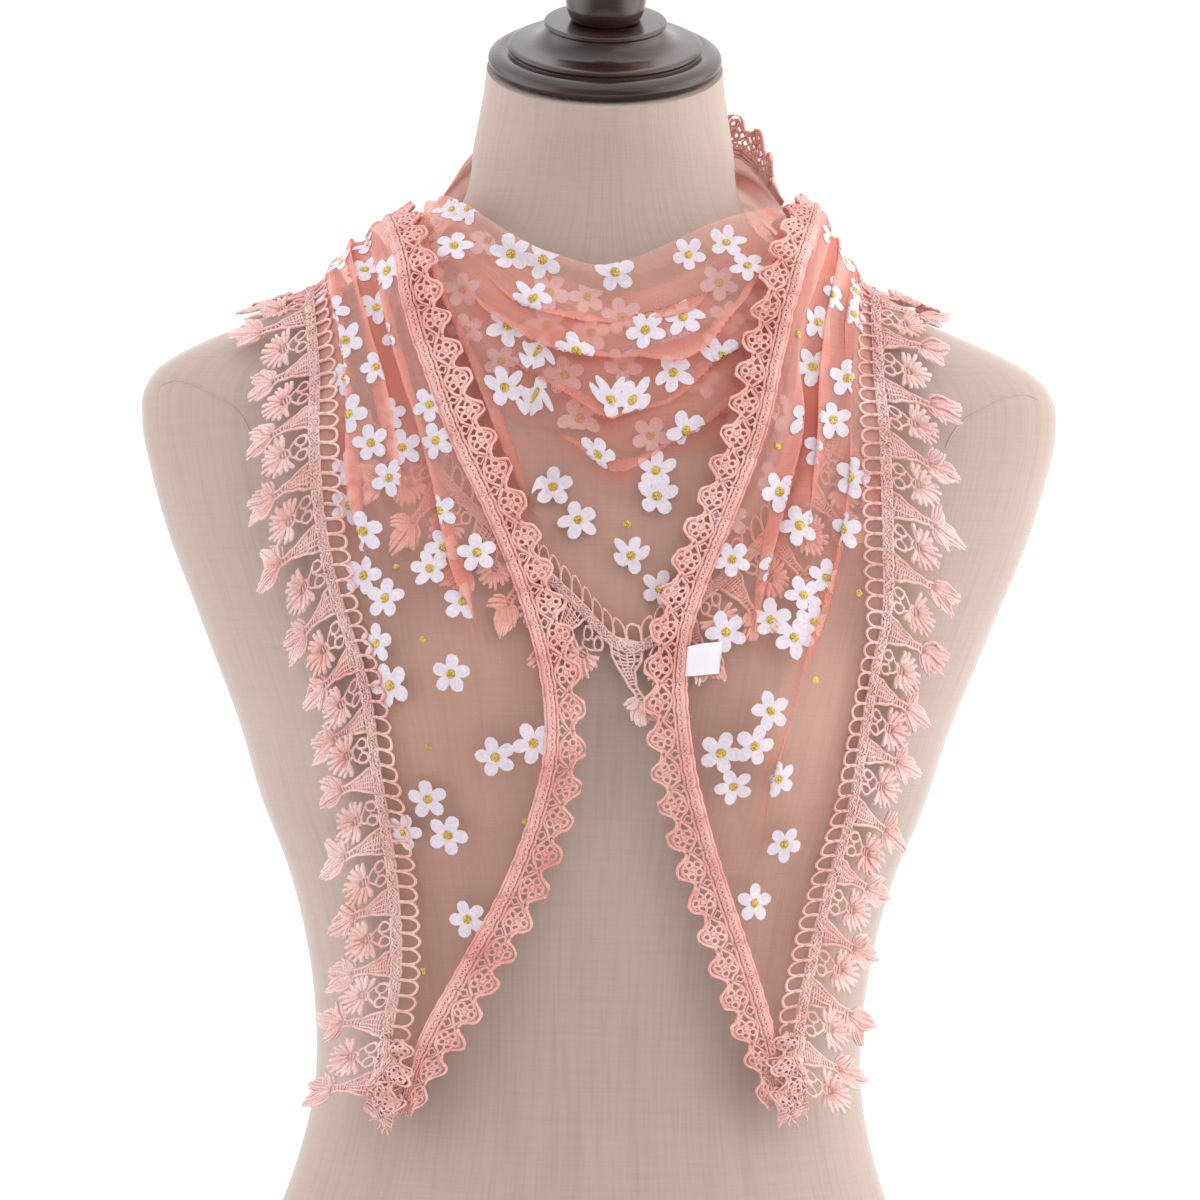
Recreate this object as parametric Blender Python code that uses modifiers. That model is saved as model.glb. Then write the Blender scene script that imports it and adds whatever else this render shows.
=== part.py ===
"""Lace shawl worn round the neck of a limbless dress form.

The shawl is one sheer triangle. Its long edge carries a narrow scalloped edging, and its two short
edges carry a wide fringe lace. Wound on the form it has five stretches, which follow one another
along the cloth: left tail, left wrap, bib, right wrap and right tail. Left and right are those of
someone who looks at the front. The front faces -Y, Z is up, and the origin is the centre of the
form's flat underside. Sizes are in millimetres until a mesh is made.
"""

from collections import namedtuple
import math

import bpy
import numpy as np
from mathutils import Vector
from mathutils.bvhtree import BVHTree
from mathutils.interpolate import poly_3d_calc

MM = 0.001
COLLECTION = "lace_shawl_on_dress_form"

# ---------------------------------------------------------------- dress form

FormRing = namedtuple("FormRing", "height half_width front back exponent lean")
FORM_RINGS = (
    FormRing(0, 165, 104, 118, 2.2, 0),
    FormRing(55, 159, 102, 116, 2.2, 0),
    FormRing(100, 147, 97, 108, 2.2, 0),
    FormRing(140, 129, 90, 97, 2.2, 0),
    FormRing(190, 117, 84, 88, 2.2, 0),
    FormRing(225, 118, 85, 86, 2.2, 0),
    FormRing(280, 130, 92, 88, 2.2, 0),
    FormRing(310, 142, 97, 91, 2.25, 0),
    FormRing(342, 152, 100, 95, 2.3, 0),
    FormRing(370, 163, 99, 99, 2.3, 0),
    FormRing(395, 173, 95, 102, 2.3, 0),
    FormRing(420, 183, 90, 104, 2.3, 0),
    FormRing(450, 192, 82, 104, 2.3, 0),
    FormRing(470, 196, 76, 100, 2.3, 0),
    FormRing(484, 195, 71, 96, 2.3, 0),
    FormRing(495, 187, 67, 92, 2.25, 0),
    FormRing(503, 173, 64, 88, 2.2, -1),
    FormRing(511, 154, 62, 84, 2.15, -1),
    FormRing(520, 132, 60, 79, 2.1, -2),
    FormRing(530, 109, 57, 73, 2.05, -3),
    FormRing(541, 86, 55, 67, 2.0, -4),
    FormRing(553, 68, 53, 60, 2.0, -5),
    FormRing(568, 59, 51, 55, 2.0, -7),
    FormRing(590, 55.5, 50, 52, 2.0, -10),
    FormRing(610, 53.5, 49, 50, 2.0, -13),
    FormRing(624, 52.5, 48, 49, 2.0, -15),
)
NECK_TOP = FORM_RINGS[-1].height
NECK_BASE = 560.0
NECK_TILT = math.radians(18)
BUST_RISE = 14.0
BUST_SIDE = 68.0
BUST_HEIGHT = 352.0
BUST_SPREAD = (42.0, 48.0)
FORM_SEGMENTS = 28
FORM_GUIDE_SEGMENTS = 144
FORM_GUIDE_RINGS = 200

# ---------------------------------------------------------------- neck cap

CapPoint = namedtuple("CapPoint", "radius height")
CAP_PROFILE = (
    CapPoint(0, 31.5),
    CapPoint(26, 31.5),
    CapPoint(27, 29),
    CapPoint(28.5, 26),
    CapPoint(33, 21),
    CapPoint(40, 18),
    CapPoint(41, 15),
    CapPoint(40.5, 13),
    CapPoint(46.5, 12),
    CapPoint(49.5, 8),
    CapPoint(49.5, 4),
    CapPoint(47, 0),
    CapPoint(0, 0),
)
KNOB_RADIUS = 17.0
KNOB_FOOT_RADIUS = 12.5
KNOB_FOOT_HEIGHT = 4.0
CAP_SEGMENTS = 18

# ---------------------------------------------------------------- shawl

SEAM_GAP = 0.3
VOILE_THICKNESS = 1.2
LACE_THICKNESS = 1.2
LACE_GAP = 0.9
LACE_OFFSET = VOILE_THICKNESS / 2 + LACE_GAP + LACE_THICKNESS / 2
LAYER_CLEARANCE = 2.6

EDGING_ZONE = (17.0, 8.5)
FRINGE_ZONE = (11.0, 22.0, 33.0, 45.0)
FRINGE_RISE = (0.8, 1.8, 3.0, 4.5)
VOILE_COLUMNS = 9

# A row says where a line across the cloth meets the form. Its inner end is on the long edge and its
# outer end on a short edge. side says on which face of the form both ends lie: front and back rows
# give x and height, and ridge rows lie on the line over the shoulder and give x alone.
Row = namedtuple("Row", "side inner_x inner_z inner_lift outer_x outer_z outer_lift")

LEFT_TAIL = (
    Row("front", -71, 183, 15, -79, 187, 15),
    Row("front", -63, 216, 14, -74, 217, 14),
    Row("front", -50, 246, 12, -72, 246, 12),
    Row("front", -33, 284, 8, -76, 284, 8),
    Row("front", -22, 322, 5, -83, 322, 5),
    Row("front", -21, 354, 4, -89, 356, 3),
    Row("front", -30, 392, 5, -100, 392, 3),
    Row("front", -44, 428, 6, -109, 430, 3),
    Row("front", -62, 465, 8, -113, 462, 3),
    Row("front", -76, 503, 11, -116, 492, 3),
    Row("front", -80, 529, 14, -119, 514, 3),
)
LEFT_SHOULDER = (Row("ridge", -84, None, 17, -120, None, 3),)
LEFT_WRAP = (
    Row("back", -81, 538, 13, -117, 514, 3),
    Row("back", -77, 527, 9, -109, 482, 3),
    Row("back", -61, 506, 6, -90, 446, 3),
    Row("back", -38, 506, 5, -52, 432, 3),
    Row("back", -20, 524, 5, -12, 450, 3),
    Row("back", 0, 552, 5, 22, 488, 3),
    Row("back", 24, 578, 5, 50, 518, 3),
    Row("back", 46, 586, 8, 78, 529, 4.5),
)
RIGHT_NECK = (Row("ridge", 63, None, 9, 102, None, 5.5),)
BIB = (
    Row("front", 61, 559, 9, 102, 508, 4.5),
    Row("front", 58, 555, 9, 97, 470, 3.5),
    Row("front", 43, 551, 8, 84, 447, 3),
    Row("front", 26, 543, 7, 62, 418, 1.4),
    Row("front", 12, 537, 7, 36, 394, 1.8),
    Row("front", -1, 534, 7, 15, 378, 3),
    Row("front", -14, 537, 7, -8, 397, 1.8),
    Row("front", -27, 541, 7, -32, 419, 1.4),
    Row("front", -42, 550, 8, -58, 442, 2),
    Row("front", -54, 561, 9, -84, 478, 3.5),
    Row("front", -59, 563, 9, -97, 512, 4.5),
)
LEFT_NECK = (Row("ridge", -61, None, 9, -104, None, 5.5),)
RIGHT_WRAP = (
    Row("back", -45, 588, 8, -80, 518, 4.5),
    Row("back", -24, 574, 5, -54, 508, 3),
    Row("back", 0, 547, 4, -24, 482, 3),
    Row("back", 20, 520, 4, 12, 446, 3),
    Row("back", 38, 496, 4, 52, 426, 3),
    Row("back", 61, 490, 6, 92, 438, 3),
    Row("back", 76, 513, 9, 108, 478, 3),
    Row("back", 79, 535, 14, 113, 514, 3),
)
RIGHT_SHOULDER = (Row("ridge", 79, None, 20, 112, None, 3),)
RIGHT_TAIL = (
    Row("front", 77, 520, 14, 112, 518, 4),
    Row("front", 73, 493, 10, 113, 494, 3),
    Row("front", 66, 460, 8, 114, 462, 3),
    Row("front", 43, 397, 5, 113, 398, 3),
    Row("front", 38, 370, 5.5, 111, 370, 3),
    Row("front", 40, 342, 7.5, 106, 342, 4),
    Row("front", 46, 308, 7, 100, 309, 6),
    Row("front", 62, 250, 12, 83, 252, 12),
    Row("front", 70, 216, 14, 77, 219, 14),
    Row("front", 72, 188, 15, 77, 192, 15),
)

# A fold runs along the cloth between two places of its stretch, from 0 to 1, and lies at a share of
# the width, from 0 at the long edge to 1 at the short edge. reach is its half width as such a share.
Fold = namedtuple("Fold", "start end from_across to_across height reach")
TAIL_FOLDS_LEFT = (
    Fold(0.35, 1.20, 0.10, 0.14, 6.0, 0.10),
    Fold(0.50, 1.25, 0.48, 0.42, 6.5, 0.11),
    Fold(0.62, 1.25, 0.80, 0.72, 5.0, 0.10),
    Fold(0.10, 0.70, 0.30, 0.36, 2.0, 0.14),
)
WRAP_FOLDS_LEFT = (
    Fold(-0.35, 1.40, 0.18, 0.18, 6.0, 0.10),
    Fold(-0.35, 1.40, 0.46, 0.46, 6.0, 0.10),
    Fold(-0.30, 1.40, 0.72, 0.72, 4.5, 0.10),
)
BIB_FOLDS = (
    Fold(0.02, 0.98, 0.02, 0.02, 5.0, 0.05),
    Fold(-0.40, 1.40, 0.18, 0.18, 6.0, 0.10),
    Fold(0.06, 0.94, 0.33, 0.30, 6.5, 0.08),
    Fold(-0.40, 1.40, 0.46, 0.46, 6.0, 0.10),
    Fold(-0.40, 0.40, 0.72, 0.72, 4.5, 0.10),
    Fold(0.62, 1.40, 0.72, 0.72, 4.5, 0.10),
)
WRAP_FOLDS_RIGHT = (
    Fold(-0.40, 1.30, 0.18, 0.18, 6.0, 0.10),
    Fold(-0.40, 1.30, 0.46, 0.46, 6.0, 0.10),
    Fold(-0.40, 1.30, 0.72, 0.72, 4.5, 0.10),
)
TAIL_FOLDS_RIGHT = (
    Fold(-0.20, 0.60, 0.14, 0.10, 6.5, 0.10),
    Fold(-0.25, 0.52, 0.42, 0.46, 7.0, 0.11),
    Fold(-0.25, 0.42, 0.72, 0.80, 5.0, 0.10),
    Fold(0.25, 0.90, 0.62, 0.56, 2.0, 0.14),
)

# The scalloped edging: where its band starts and ends, its whole width and a scallop's length.
EDGING_START = 1.0
EDGING_BAND = 11.0
EDGING_WIDTH = 17.0
EDGING_PITCH = 14.5

# The fringe lace, measured from the cloth's edge: loops over the cloth, a header band, then motifs.
LOOPS_PER_REPEAT = 4
LOOP_PITCH = 7.25
LOOP_HEIGHT = 8.8
LOOP_VALLEY = 6.3
LOOP_HOLE_FOOT_HALF = 2.8
LOOP_HOLE_TOP_HALF = 2.1
LOOP_HOLE_FOOT = 0.6
LOOP_HOLE_TOP = 6.9
EDGE_MARGIN = 3.0
HEADER_WIDTH = 5.0
REPEAT = LOOPS_PER_REPEAT * LOOP_PITCH

# A motif narrows from its feet on the header to a neck, and ends in a fan-shaped tassel.
Motif = namedtuple("Motif", "neck_half neck_out side_half side_out tip_half tip_out")
LONG_MOTIF = Motif(1.5, 21, 7.0, 36, 3.6, 43.5)
SHORT_MOTIF = Motif(1.1, 13, 6.2, 23, 0, 28.5)
SHORT_FOOT = 3.0

LABEL_SIZE = (10.0, 12.0)
LABEL_THICKNESS = 0.8
LABEL_GAP = 0.5


# ---------------------------------------------------------------- small tools

def smooth_curve(knots, values, at):
    """A cubic curve through values at knots, read at the places in at."""
    knots = np.asarray(knots, float)
    values = np.asarray(values, float)
    at = np.asarray(at, float)
    slopes = np.gradient(values, knots, axis=0)
    i = np.clip(np.searchsorted(knots, at, side="right") - 1, 0, len(knots) - 2)
    step = knots[i + 1] - knots[i]
    t = (at - knots[i]) / step
    if values.ndim > 1:
        t = t[..., None]
        step = step[..., None]
    start = (2 * t**3 - 3 * t**2 + 1) * values[i] + (t**3 - 2 * t**2 + t) * step * slopes[i]
    end = (3 * t**2 - 2 * t**3) * values[i + 1] + (t**3 - t**2) * step * slopes[i + 1]
    return start + end


def smooth_step(x):
    x = np.clip(x, 0.0, 1.0)
    return x * x * (3 - 2 * x)


def unit(vectors):
    length = np.linalg.norm(vectors, axis=-1, keepdims=True)
    return vectors / np.maximum(length, 1e-9)


def material(name, color, roughness, metallic=0.0):
    made = bpy.data.materials.new(name)
    made.use_nodes = True
    shader = made.node_tree.nodes["Principled BSDF"]
    shader.inputs["Base Color"].default_value = (*color, 1.0)
    shader.inputs["Roughness"].default_value = roughness
    shader.inputs["Metallic"].default_value = metallic
    return made


def add_object(name, mesh, mat):
    made = bpy.data.objects.new(name, mesh)
    mesh.materials.append(mat)
    bpy.data.collections[COLLECTION].objects.link(made)
    return made


def mesh_from(name, points, faces):
    mesh = bpy.data.meshes.new(name)
    mesh.from_pydata([tuple(p) for p in np.asarray(points, float) * MM], [], faces)
    mesh.update()
    return mesh


def grid_faces(rows, columns, closed=False):
    """Quads of a grid of points stored row by row; closed joins the last column to the first."""
    faces = []
    for i in range(rows - 1):
        for j in range(columns if closed else columns - 1):
            k = (j + 1) % columns
            faces.append((i * columns + j, i * columns + k, (i + 1) * columns + k, (i + 1) * columns + j))
    return faces


# ---------------------------------------------------------------- the form's surface

def form_value(column, height):
    heights = [ring.height for ring in FORM_RINGS]
    return smooth_curve(heights, [getattr(ring, column) for ring in FORM_RINGS], height)


def form_points(height, angle):
    """Points of the form's surface. angle is 0 at +X, and -90 degrees at the front."""
    height, angle = np.broadcast_arrays(np.asarray(height, float), np.asarray(angle, float))
    power = 2 / form_value("exponent", height)
    across = np.cos(angle)
    deep = np.sin(angle)
    x = form_value("half_width", height) * np.sign(across) * np.abs(across) ** power
    depth = np.where(deep < 0, form_value("front", height), form_value("back", height))
    y = depth * np.sign(deep) * np.abs(deep) ** power
    side = (np.abs(x) - BUST_SIDE) / BUST_SPREAD[0]
    rise = (height - BUST_HEIGHT) / BUST_SPREAD[1]
    y = y - BUST_RISE * np.exp(-side**2 - rise**2) * np.maximum(-deep, 0)
    tilt = smooth_step((height - NECK_BASE) / (NECK_TOP - NECK_BASE)) * math.tan(NECK_TILT)
    return np.stack([x, y + form_value("lean", height), height + y * tilt], axis=-1)


def point_at(side, x, height):
    """The form's surface point of a row's end."""
    if side == "ridge":
        heights = np.linspace(FORM_RINGS[14].height, NECK_TOP, 400)
        height = np.interp(-abs(x), -form_value("half_width", heights), heights)
        return form_points(height, 0.0 if x > 0 else math.pi)
    share = min(abs(x) / float(form_value("half_width", height)), 1.0)
    angle = math.acos(math.copysign(share ** (float(form_value("exponent", height)) / 2), x))
    return form_points(height, -angle if side == "front" else angle)


def build_form(mat):
    heights = [ring.height for ring in FORM_RINGS]
    angles = np.linspace(0, 2 * math.pi, FORM_SEGMENTS, endpoint=False)
    points = form_points(np.array(heights)[:, None], angles[None, :]).reshape(-1, 3)
    faces = grid_faces(len(heights), FORM_SEGMENTS, closed=True)
    last = (len(heights) - 1) * FORM_SEGMENTS
    faces.append(tuple(range(FORM_SEGMENTS - 1, -1, -1)))
    faces.append(tuple(range(last, last + FORM_SEGMENTS)))
    mesh = mesh_from("dress_form", points, faces)
    mesh.shade_smooth()
    mesh.set_sharp_from_angle(angle=math.radians(50))
    return add_object("dress_form", mesh, mat)


class Guide:
    """The form's surface as a fine mesh, which cloth is laid on."""

    def __init__(self):
        heights = np.linspace(0, NECK_TOP, FORM_GUIDE_RINGS)
        angles = np.linspace(0, 2 * math.pi, FORM_GUIDE_SEGMENTS, endpoint=False)
        points = form_points(heights[:, None], angles[None, :])
        along = np.gradient(points, axis=0)
        around = np.roll(points, -1, axis=1) - np.roll(points, 1, axis=1)
        self.normals = unit(np.cross(around, along)).reshape(-1, 3)
        self.points = points.reshape(-1, 3)
        self.faces = grid_faces(FORM_GUIDE_RINGS, FORM_GUIDE_SEGMENTS, closed=True)
        self.tree = BVHTree.FromPolygons([tuple(p) for p in self.points], self.faces)

    def foot(self, point):
        """The nearest place on the form, and the smooth normal there."""
        place, _, face, _ = self.tree.find_nearest(Vector(point))
        corners = self.faces[face]
        shares = poly_3d_calc([Vector(self.points[c]) for c in corners], place)
        normal = sum(self.normals[c] * s for c, s in zip(corners, shares))
        return np.array(place), unit(normal)

    def feet(self, points):
        flat = [self.foot(p) for p in points.reshape(-1, 3)]
        places = np.array([f[0] for f in flat]).reshape(points.shape)
        normals = np.array([f[1] for f in flat]).reshape(points.shape)
        return places, normals


# ---------------------------------------------------------------- laying the cloth

def fold_lift(folds, along, across):
    """How far the folds of a stretch stand up at places along and across it."""
    lift = np.zeros(np.broadcast(along, across).shape)
    for fold in folds:
        share = (along - fold.start) / (fold.end - fold.start)
        ends = smooth_step(share / 0.22) * smooth_step((1 - share) / 0.22)
        centre = fold.from_across + (fold.to_across - fold.from_across) * np.clip(share, 0, 1)
        lift = lift + fold.height * ends * np.exp(-(((across - centre) / fold.reach) ** 2))
    return lift


def soften(values, times):
    """Blurs a grid along both ways, keeping its borders."""
    for _ in range(times):
        padded = np.pad(values, 1, mode="edge")
        around = padded[:-2, 1:-1] + padded[2:, 1:-1] + padded[1:-1, :-2] + padded[1:-1, 2:]
        values = (4 * values + around) / 8
    return values


class Cloth:
    """A grid of points over a run of rows, with the zones of both laces beyond its edges.

    stretches lists (rows, folds) in order; places counts grid rows between two table rows.
    """

    def __init__(self, guide, rows, stretches, places):
        self.rows = rows
        count = (len(rows) - 1) * places + 1
        self.at = np.linspace(0, len(rows) - 1, count)
        inner = smooth_curve(range(len(rows)), [point_at(r.side, r.inner_x, r.inner_z) for r in rows], self.at)
        outer = smooth_curve(range(len(rows)), [point_at(r.side, r.outer_x, r.outer_z) for r in rows], self.at)
        across = np.linspace(0, 1, VOILE_COLUMNS + 1)
        cloth = inner[:, None] + (outer - inner)[:, None] * across[None, :, None]
        feet, normals = guide.feet(cloth)
        zones = [self.zone(feet[:, 0], feet[:, 1], normals[:, 0], EDGING_ZONE)]
        zones.append(cloth)
        zones.append(self.zone(feet[:, -1], feet[:, -2], normals[:, -1], FRINGE_ZONE))
        self.feet, self.normals = guide.feet(np.concatenate(zones, axis=1))
        self.first = len(EDGING_ZONE)
        self.last = self.first + VOILE_COLUMNS
        self.lift = self.base_lift(across, stretches)

    @staticmethod
    def zone(edge, inside, normal, distances):
        """Points beyond an edge, square to it, at the given distances."""
        along = unit(np.gradient(edge, axis=0))
        outward = np.cross(along, normal)
        outward = unit(outward)
        flip = np.sum(outward * (edge - inside), axis=-1, keepdims=True) < 0
        outward = np.where(flip, -outward, outward)
        return edge[:, None] + outward[:, None] * np.array(distances)[None, :, None]

    def base_lift(self, across, stretches):
        index = range(len(self.rows))
        inner = smooth_curve(index, [r.inner_lift for r in self.rows], self.at)
        outer = smooth_curve(index, [r.outer_lift for r in self.rows], self.at)
        lift = inner[:, None] + (outer - inner)[:, None] * across[None, :]
        for first, last, folds in stretches:
            along = (self.at[:, None] - first) / (last - first)
            lift = lift + fold_lift(folds, along, across[None, :])
        edging = np.repeat(lift[:, :1], len(EDGING_ZONE), axis=1)
        fringe = lift[:, -1:] + np.array(FRINGE_RISE)
        return np.concatenate([edging, lift, fringe], axis=1)

    def points(self, offset=0.0):
        return self.feet + self.normals * (self.lift + offset)[..., None]

    def tree(self, start, end, columns=slice(None)):
        """The top side of grid rows start to end, for cloth that is laid over it."""
        top = self.points(LACE_OFFSET)[start:end, columns]
        rows, count = top.shape[:2]
        return BVHTree.FromPolygons([tuple(p) for p in top.reshape(-1, 3)], grid_faces(rows, count))

    def raise_over(self, trees, keep=0, keep_end=0):
        """Lifts the cloth clear of what lies under it; the first and last rows may stay."""
        need = np.zeros(self.lift.shape)
        for i in range(keep, need.shape[0] - keep_end):
            for j in range(need.shape[1]):
                foot = Vector(self.feet[i, j])
                normal = Vector(self.normals[i, j])
                for tree in trees:
                    hit = tree.ray_cast(foot + normal * 60, -normal, 60)
                    if hit[0] is not None:
                        need[i, j] = max(need[i, j], 60 - hit[3] + LAYER_CLEARANCE)
        padded = np.pad(need, 1, mode="edge")
        for di in (0, 1, 2):
            for dj in (0, 1, 2):
                shifted = padded[di:di + need.shape[0], dj:dj + need.shape[1]]
                need = np.maximum(need, shifted)
        short = np.maximum(need - self.lift, 0)
        extra = short
        for _ in range(8):
            extra = np.maximum(soften(extra, 1), short)
        extra = soften(extra, 2)
        extra[:keep] = 0
        if keep_end:
            extra[-keep_end:] = 0
        self.lift = self.lift + extra


def build_voile(name, cloth, start, end, mat):
    """One stretch of the triangle: an open sheet with thickness, ending half a gap from its seams."""
    points = cloth.points()[:, cloth.first:cloth.last + 1]
    points = points[start:end + 1].copy()
    for edge, inside in ((0, 1), (-1, -2)):
        step = points[inside] - points[edge]
        length = np.linalg.norm(step, axis=-1, keepdims=True)
        points[edge] += step / length * SEAM_GAP / 2
    rows, columns = points.shape[:2]
    mesh = mesh_from(name, points.reshape(-1, 3), grid_faces(rows, columns))
    made = add_object(name, mesh, mat)
    wall = made.modifiers.new("cloth_wall", "SOLIDIFY")
    wall.thickness = VOILE_THICKNESS * MM
    wall.offset = 0.0
    return made


class EdgeMap:
    """Places flat lace along an edge of a cloth: along the edge, out from it, and above it."""

    def __init__(self, cloth, side, start, end):
        self.cloth = cloth
        self.side = side
        self.column = cloth.first if side == "inner" else cloth.last
        self.place = cloth.points()
        along = np.gradient(self.place, axis=0)
        across = np.gradient(self.place, axis=1)
        normal = unit(np.cross(along, across))
        flip = np.sum(normal * cloth.normals, axis=-1, keepdims=True) < 0
        self.normal = np.where(flip, -normal, normal)
        edge = self.place[start:end + 1, self.column]
        steps = np.linalg.norm(np.diff(edge, axis=0), axis=-1)
        self.run = np.concatenate([[0], np.cumsum(steps)])
        self.index = np.arange(start, end + 1)
        self.length = self.run[-1]
        sheet = self.place[:, cloth.first:cloth.last + 1]
        self.width = np.sum(np.linalg.norm(np.diff(sheet, axis=1), axis=-1), axis=1)

    def read(self, grid, row, column):
        row = np.clip(row, 0, grid.shape[0] - 1.001)
        column = np.clip(column, 0, grid.shape[1] - 1.001)
        i = row.astype(int)
        j = column.astype(int)
        u = (row - i)[:, None]
        v = (column - j)[:, None]
        low = grid[i, j] * (1 - v) + grid[i, j + 1] * v
        high = grid[i + 1, j] * (1 - v) + grid[i + 1, j + 1] * v
        return low * (1 - u) + high * u

    def place_points(self, along, out, above=0.0):
        row = np.interp(along, self.run, self.index)
        width = np.interp(row, np.arange(len(self.width)), self.width)
        room = np.minimum(width / (LOOP_HEIGHT + EDGE_MARGIN), 1)
        inward = np.minimum(out, 0) * room / width * VOILE_COLUMNS
        distances = (0, *(sorted(EDGING_ZONE) if self.side == "inner" else FRINGE_ZONE))
        outward = np.interp(out, distances, range(len(distances)))
        shift = np.where(out < 0, inward, outward)
        column = self.column - shift if self.side == "inner" else self.column + shift
        place = self.read(self.place, row, column)
        normal = unit(self.read(self.normal, row, column))
        return place + normal * (LACE_OFFSET + above)


class FlatLace:
    """Faces of a flat lace, drawn along an edge of the cloth and out from it."""

    def __init__(self):
        self.points = []
        self.faces = []
        self.known = {}

    def spot(self, along, out):
        key = (round(along, 3), round(out, 3))
        if key not in self.known:
            self.known[key] = len(self.points)
            self.points.append((along, out))
        return self.known[key]

    def face(self, *corners):
        """Adds a face, wound so that the whole lace has one upper side."""
        turn = 0.0
        for (along, out), (next_along, next_out) in zip(corners, corners[1:] + corners[:1]):
            turn += along * next_out - next_along * out
        spots = [self.spot(*corner) for corner in corners]
        self.faces.append(spots if turn > 0 else spots[::-1])

    def lay(self, name, edge, mat, above=0.0, thickness=LACE_THICKNESS):
        """The lace as an object: its points on the edge it is sewn to, and a wall's thickness."""
        flat = np.array(self.points)
        along = SEAM_GAP / 2 + flat[:, 0] * (1 - SEAM_GAP / edge.length)
        points = edge.place_points(along, flat[:, 1], above)
        made = add_object(name, mesh_from(name, points, self.faces), mat)
        wall = made.modifiers.new("lace_wall", "SOLIDIFY")
        wall.thickness = thickness * MM
        wall.offset = 0.0
        return made


def build_edging(name, edge, mat):
    """The narrow edging: a band with a scalloped outer edge."""
    lace = FlatLace()
    count = max(1, round(edge.length / EDGING_PITCH))
    pitch = edge.length / count
    for k in range(count):
        start = k * pitch
        end = start + pitch
        lace.face((start, EDGING_START), (end, EDGING_START), (end, EDGING_BAND), (start, EDGING_BAND))
        crown_start = (start + pitch / 4, EDGING_WIDTH)
        crown_end = (end - pitch / 4, EDGING_WIDTH)
        lace.face((start, EDGING_BAND), (end, EDGING_BAND), crown_end, crown_start)
    return lace.lay(name, edge, mat)


def add_loops(lace, loops, pitch):
    """Arched loops over the cloth: a post between each two holes, and an arch from post to post."""
    length = loops * pitch
    foot_half = pitch / 2 - LOOP_HOLE_FOOT_HALF
    top_half = pitch / 2 - LOOP_HOLE_TOP_HALF
    outline = ((-foot_half, LOOP_HOLE_FOOT), (foot_half, LOOP_HOLE_FOOT), (top_half, LOOP_HOLE_TOP),
               (0, LOOP_VALLEY), (-top_half, LOOP_HOLE_TOP))
    for k in range(loops + 1):
        corners = [(k * pitch + half, -out) for half, out in outline if 0 <= k * pitch + half <= length]
        if k == 0:
            corners.append((0, -LOOP_HOLE_FOOT))
        if k == loops:
            corners.insert(1, (length, -LOOP_HOLE_FOOT))
        lace.face(*corners)
    for k in range(loops):
        middle = (k + 0.5) * pitch
        crown = (middle, -LOOP_HEIGHT)
        sides = [(middle + way * LOOP_HOLE_TOP_HALF, -LOOP_HOLE_TOP) for way in (-1, 1)]
        lace.face(*sides, crown)
        for way, side in zip((-1, 1), sides):
            lace.face(side, crown, (middle + way * pitch / 2, -LOOP_VALLEY))


def add_header(lace, start, pitch, length):
    """One repeat of the header band; returns the feet of its long and its short motif."""
    hole = LOOP_HOLE_FOOT_HALF
    row = []
    for k in range(LOOPS_PER_REPEAT):
        middle = start + (k + 0.5) * pitch
        row += [(middle - hole, -LOOP_HOLE_FOOT), (middle + hole, -LOOP_HOLE_FOOT)]
    row.append((min(start + LOOPS_PER_REPEAT * pitch + pitch / 2 - hole, length), -LOOP_HOLE_FOOT))
    long_feet = ((row[0][0], HEADER_WIDTH), (row[3][0], HEADER_WIDTH))
    middle = start + 3 * pitch
    short_feet = ((middle - SHORT_FOOT, HEADER_WIDTH), (middle + SHORT_FOOT, HEADER_WIDTH))
    end = (row[8][0], HEADER_WIDTH)
    if start == 0:
        lace.face((0, -LOOP_HOLE_FOOT), row[0], long_feet[0], (0, HEADER_WIDTH))
    lace.face(row[0], row[1], long_feet[0])
    lace.face(row[1], row[2], long_feet[1], long_feet[0])
    lace.face(row[2], row[3], long_feet[1])
    lace.face(row[3], row[4], short_feet[0], long_feet[1])
    lace.face(row[4], row[5], short_feet[0])
    lace.face(row[5], row[6], short_feet[1], short_feet[0])
    lace.face(row[6], row[7], short_feet[1])
    lace.face(row[7], row[8], end, short_feet[1])
    return long_feet, short_feet


def add_motif(lace, feet, motif):
    """A motif: a fan of net that narrows to a neck, and a tassel that opens from it."""
    middle = (feet[0][0] + feet[1][0]) / 2
    neck = [(middle + way * motif.neck_half, motif.neck_out) for way in (-1, 1)]
    side = [(middle + way * motif.side_half, motif.side_out) for way in (-1, 1)]
    lace.face(feet[0], feet[1], neck[1], neck[0])
    lace.face(neck[0], neck[1], side[1], side[0])
    if motif.tip_half:
        tip = [(middle + way * motif.tip_half, motif.tip_out) for way in (-1, 1)]
        lace.face(side[0], side[1], tip[1], tip[0])
    else:
        lace.face(side[0], side[1], (middle, motif.tip_out))


def build_fringe(name, edge, mat):
    """The fringe lace: arched loops, a header band, and long and short motifs with cut tassels."""
    lace = FlatLace()
    repeats = max(1, round(edge.length / REPEAT))
    pitch = edge.length / (repeats * LOOPS_PER_REPEAT)
    add_loops(lace, repeats * LOOPS_PER_REPEAT, pitch)
    for k in range(repeats):
        long_feet, short_feet = add_header(lace, k * LOOPS_PER_REPEAT * pitch, pitch, edge.length)
        add_motif(lace, long_feet, LONG_MOTIF)
        add_motif(lace, short_feet, SHORT_MOTIF)
    return lace.lay(name, edge, mat)


# ---------------------------------------------------------------- neck cap

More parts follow.
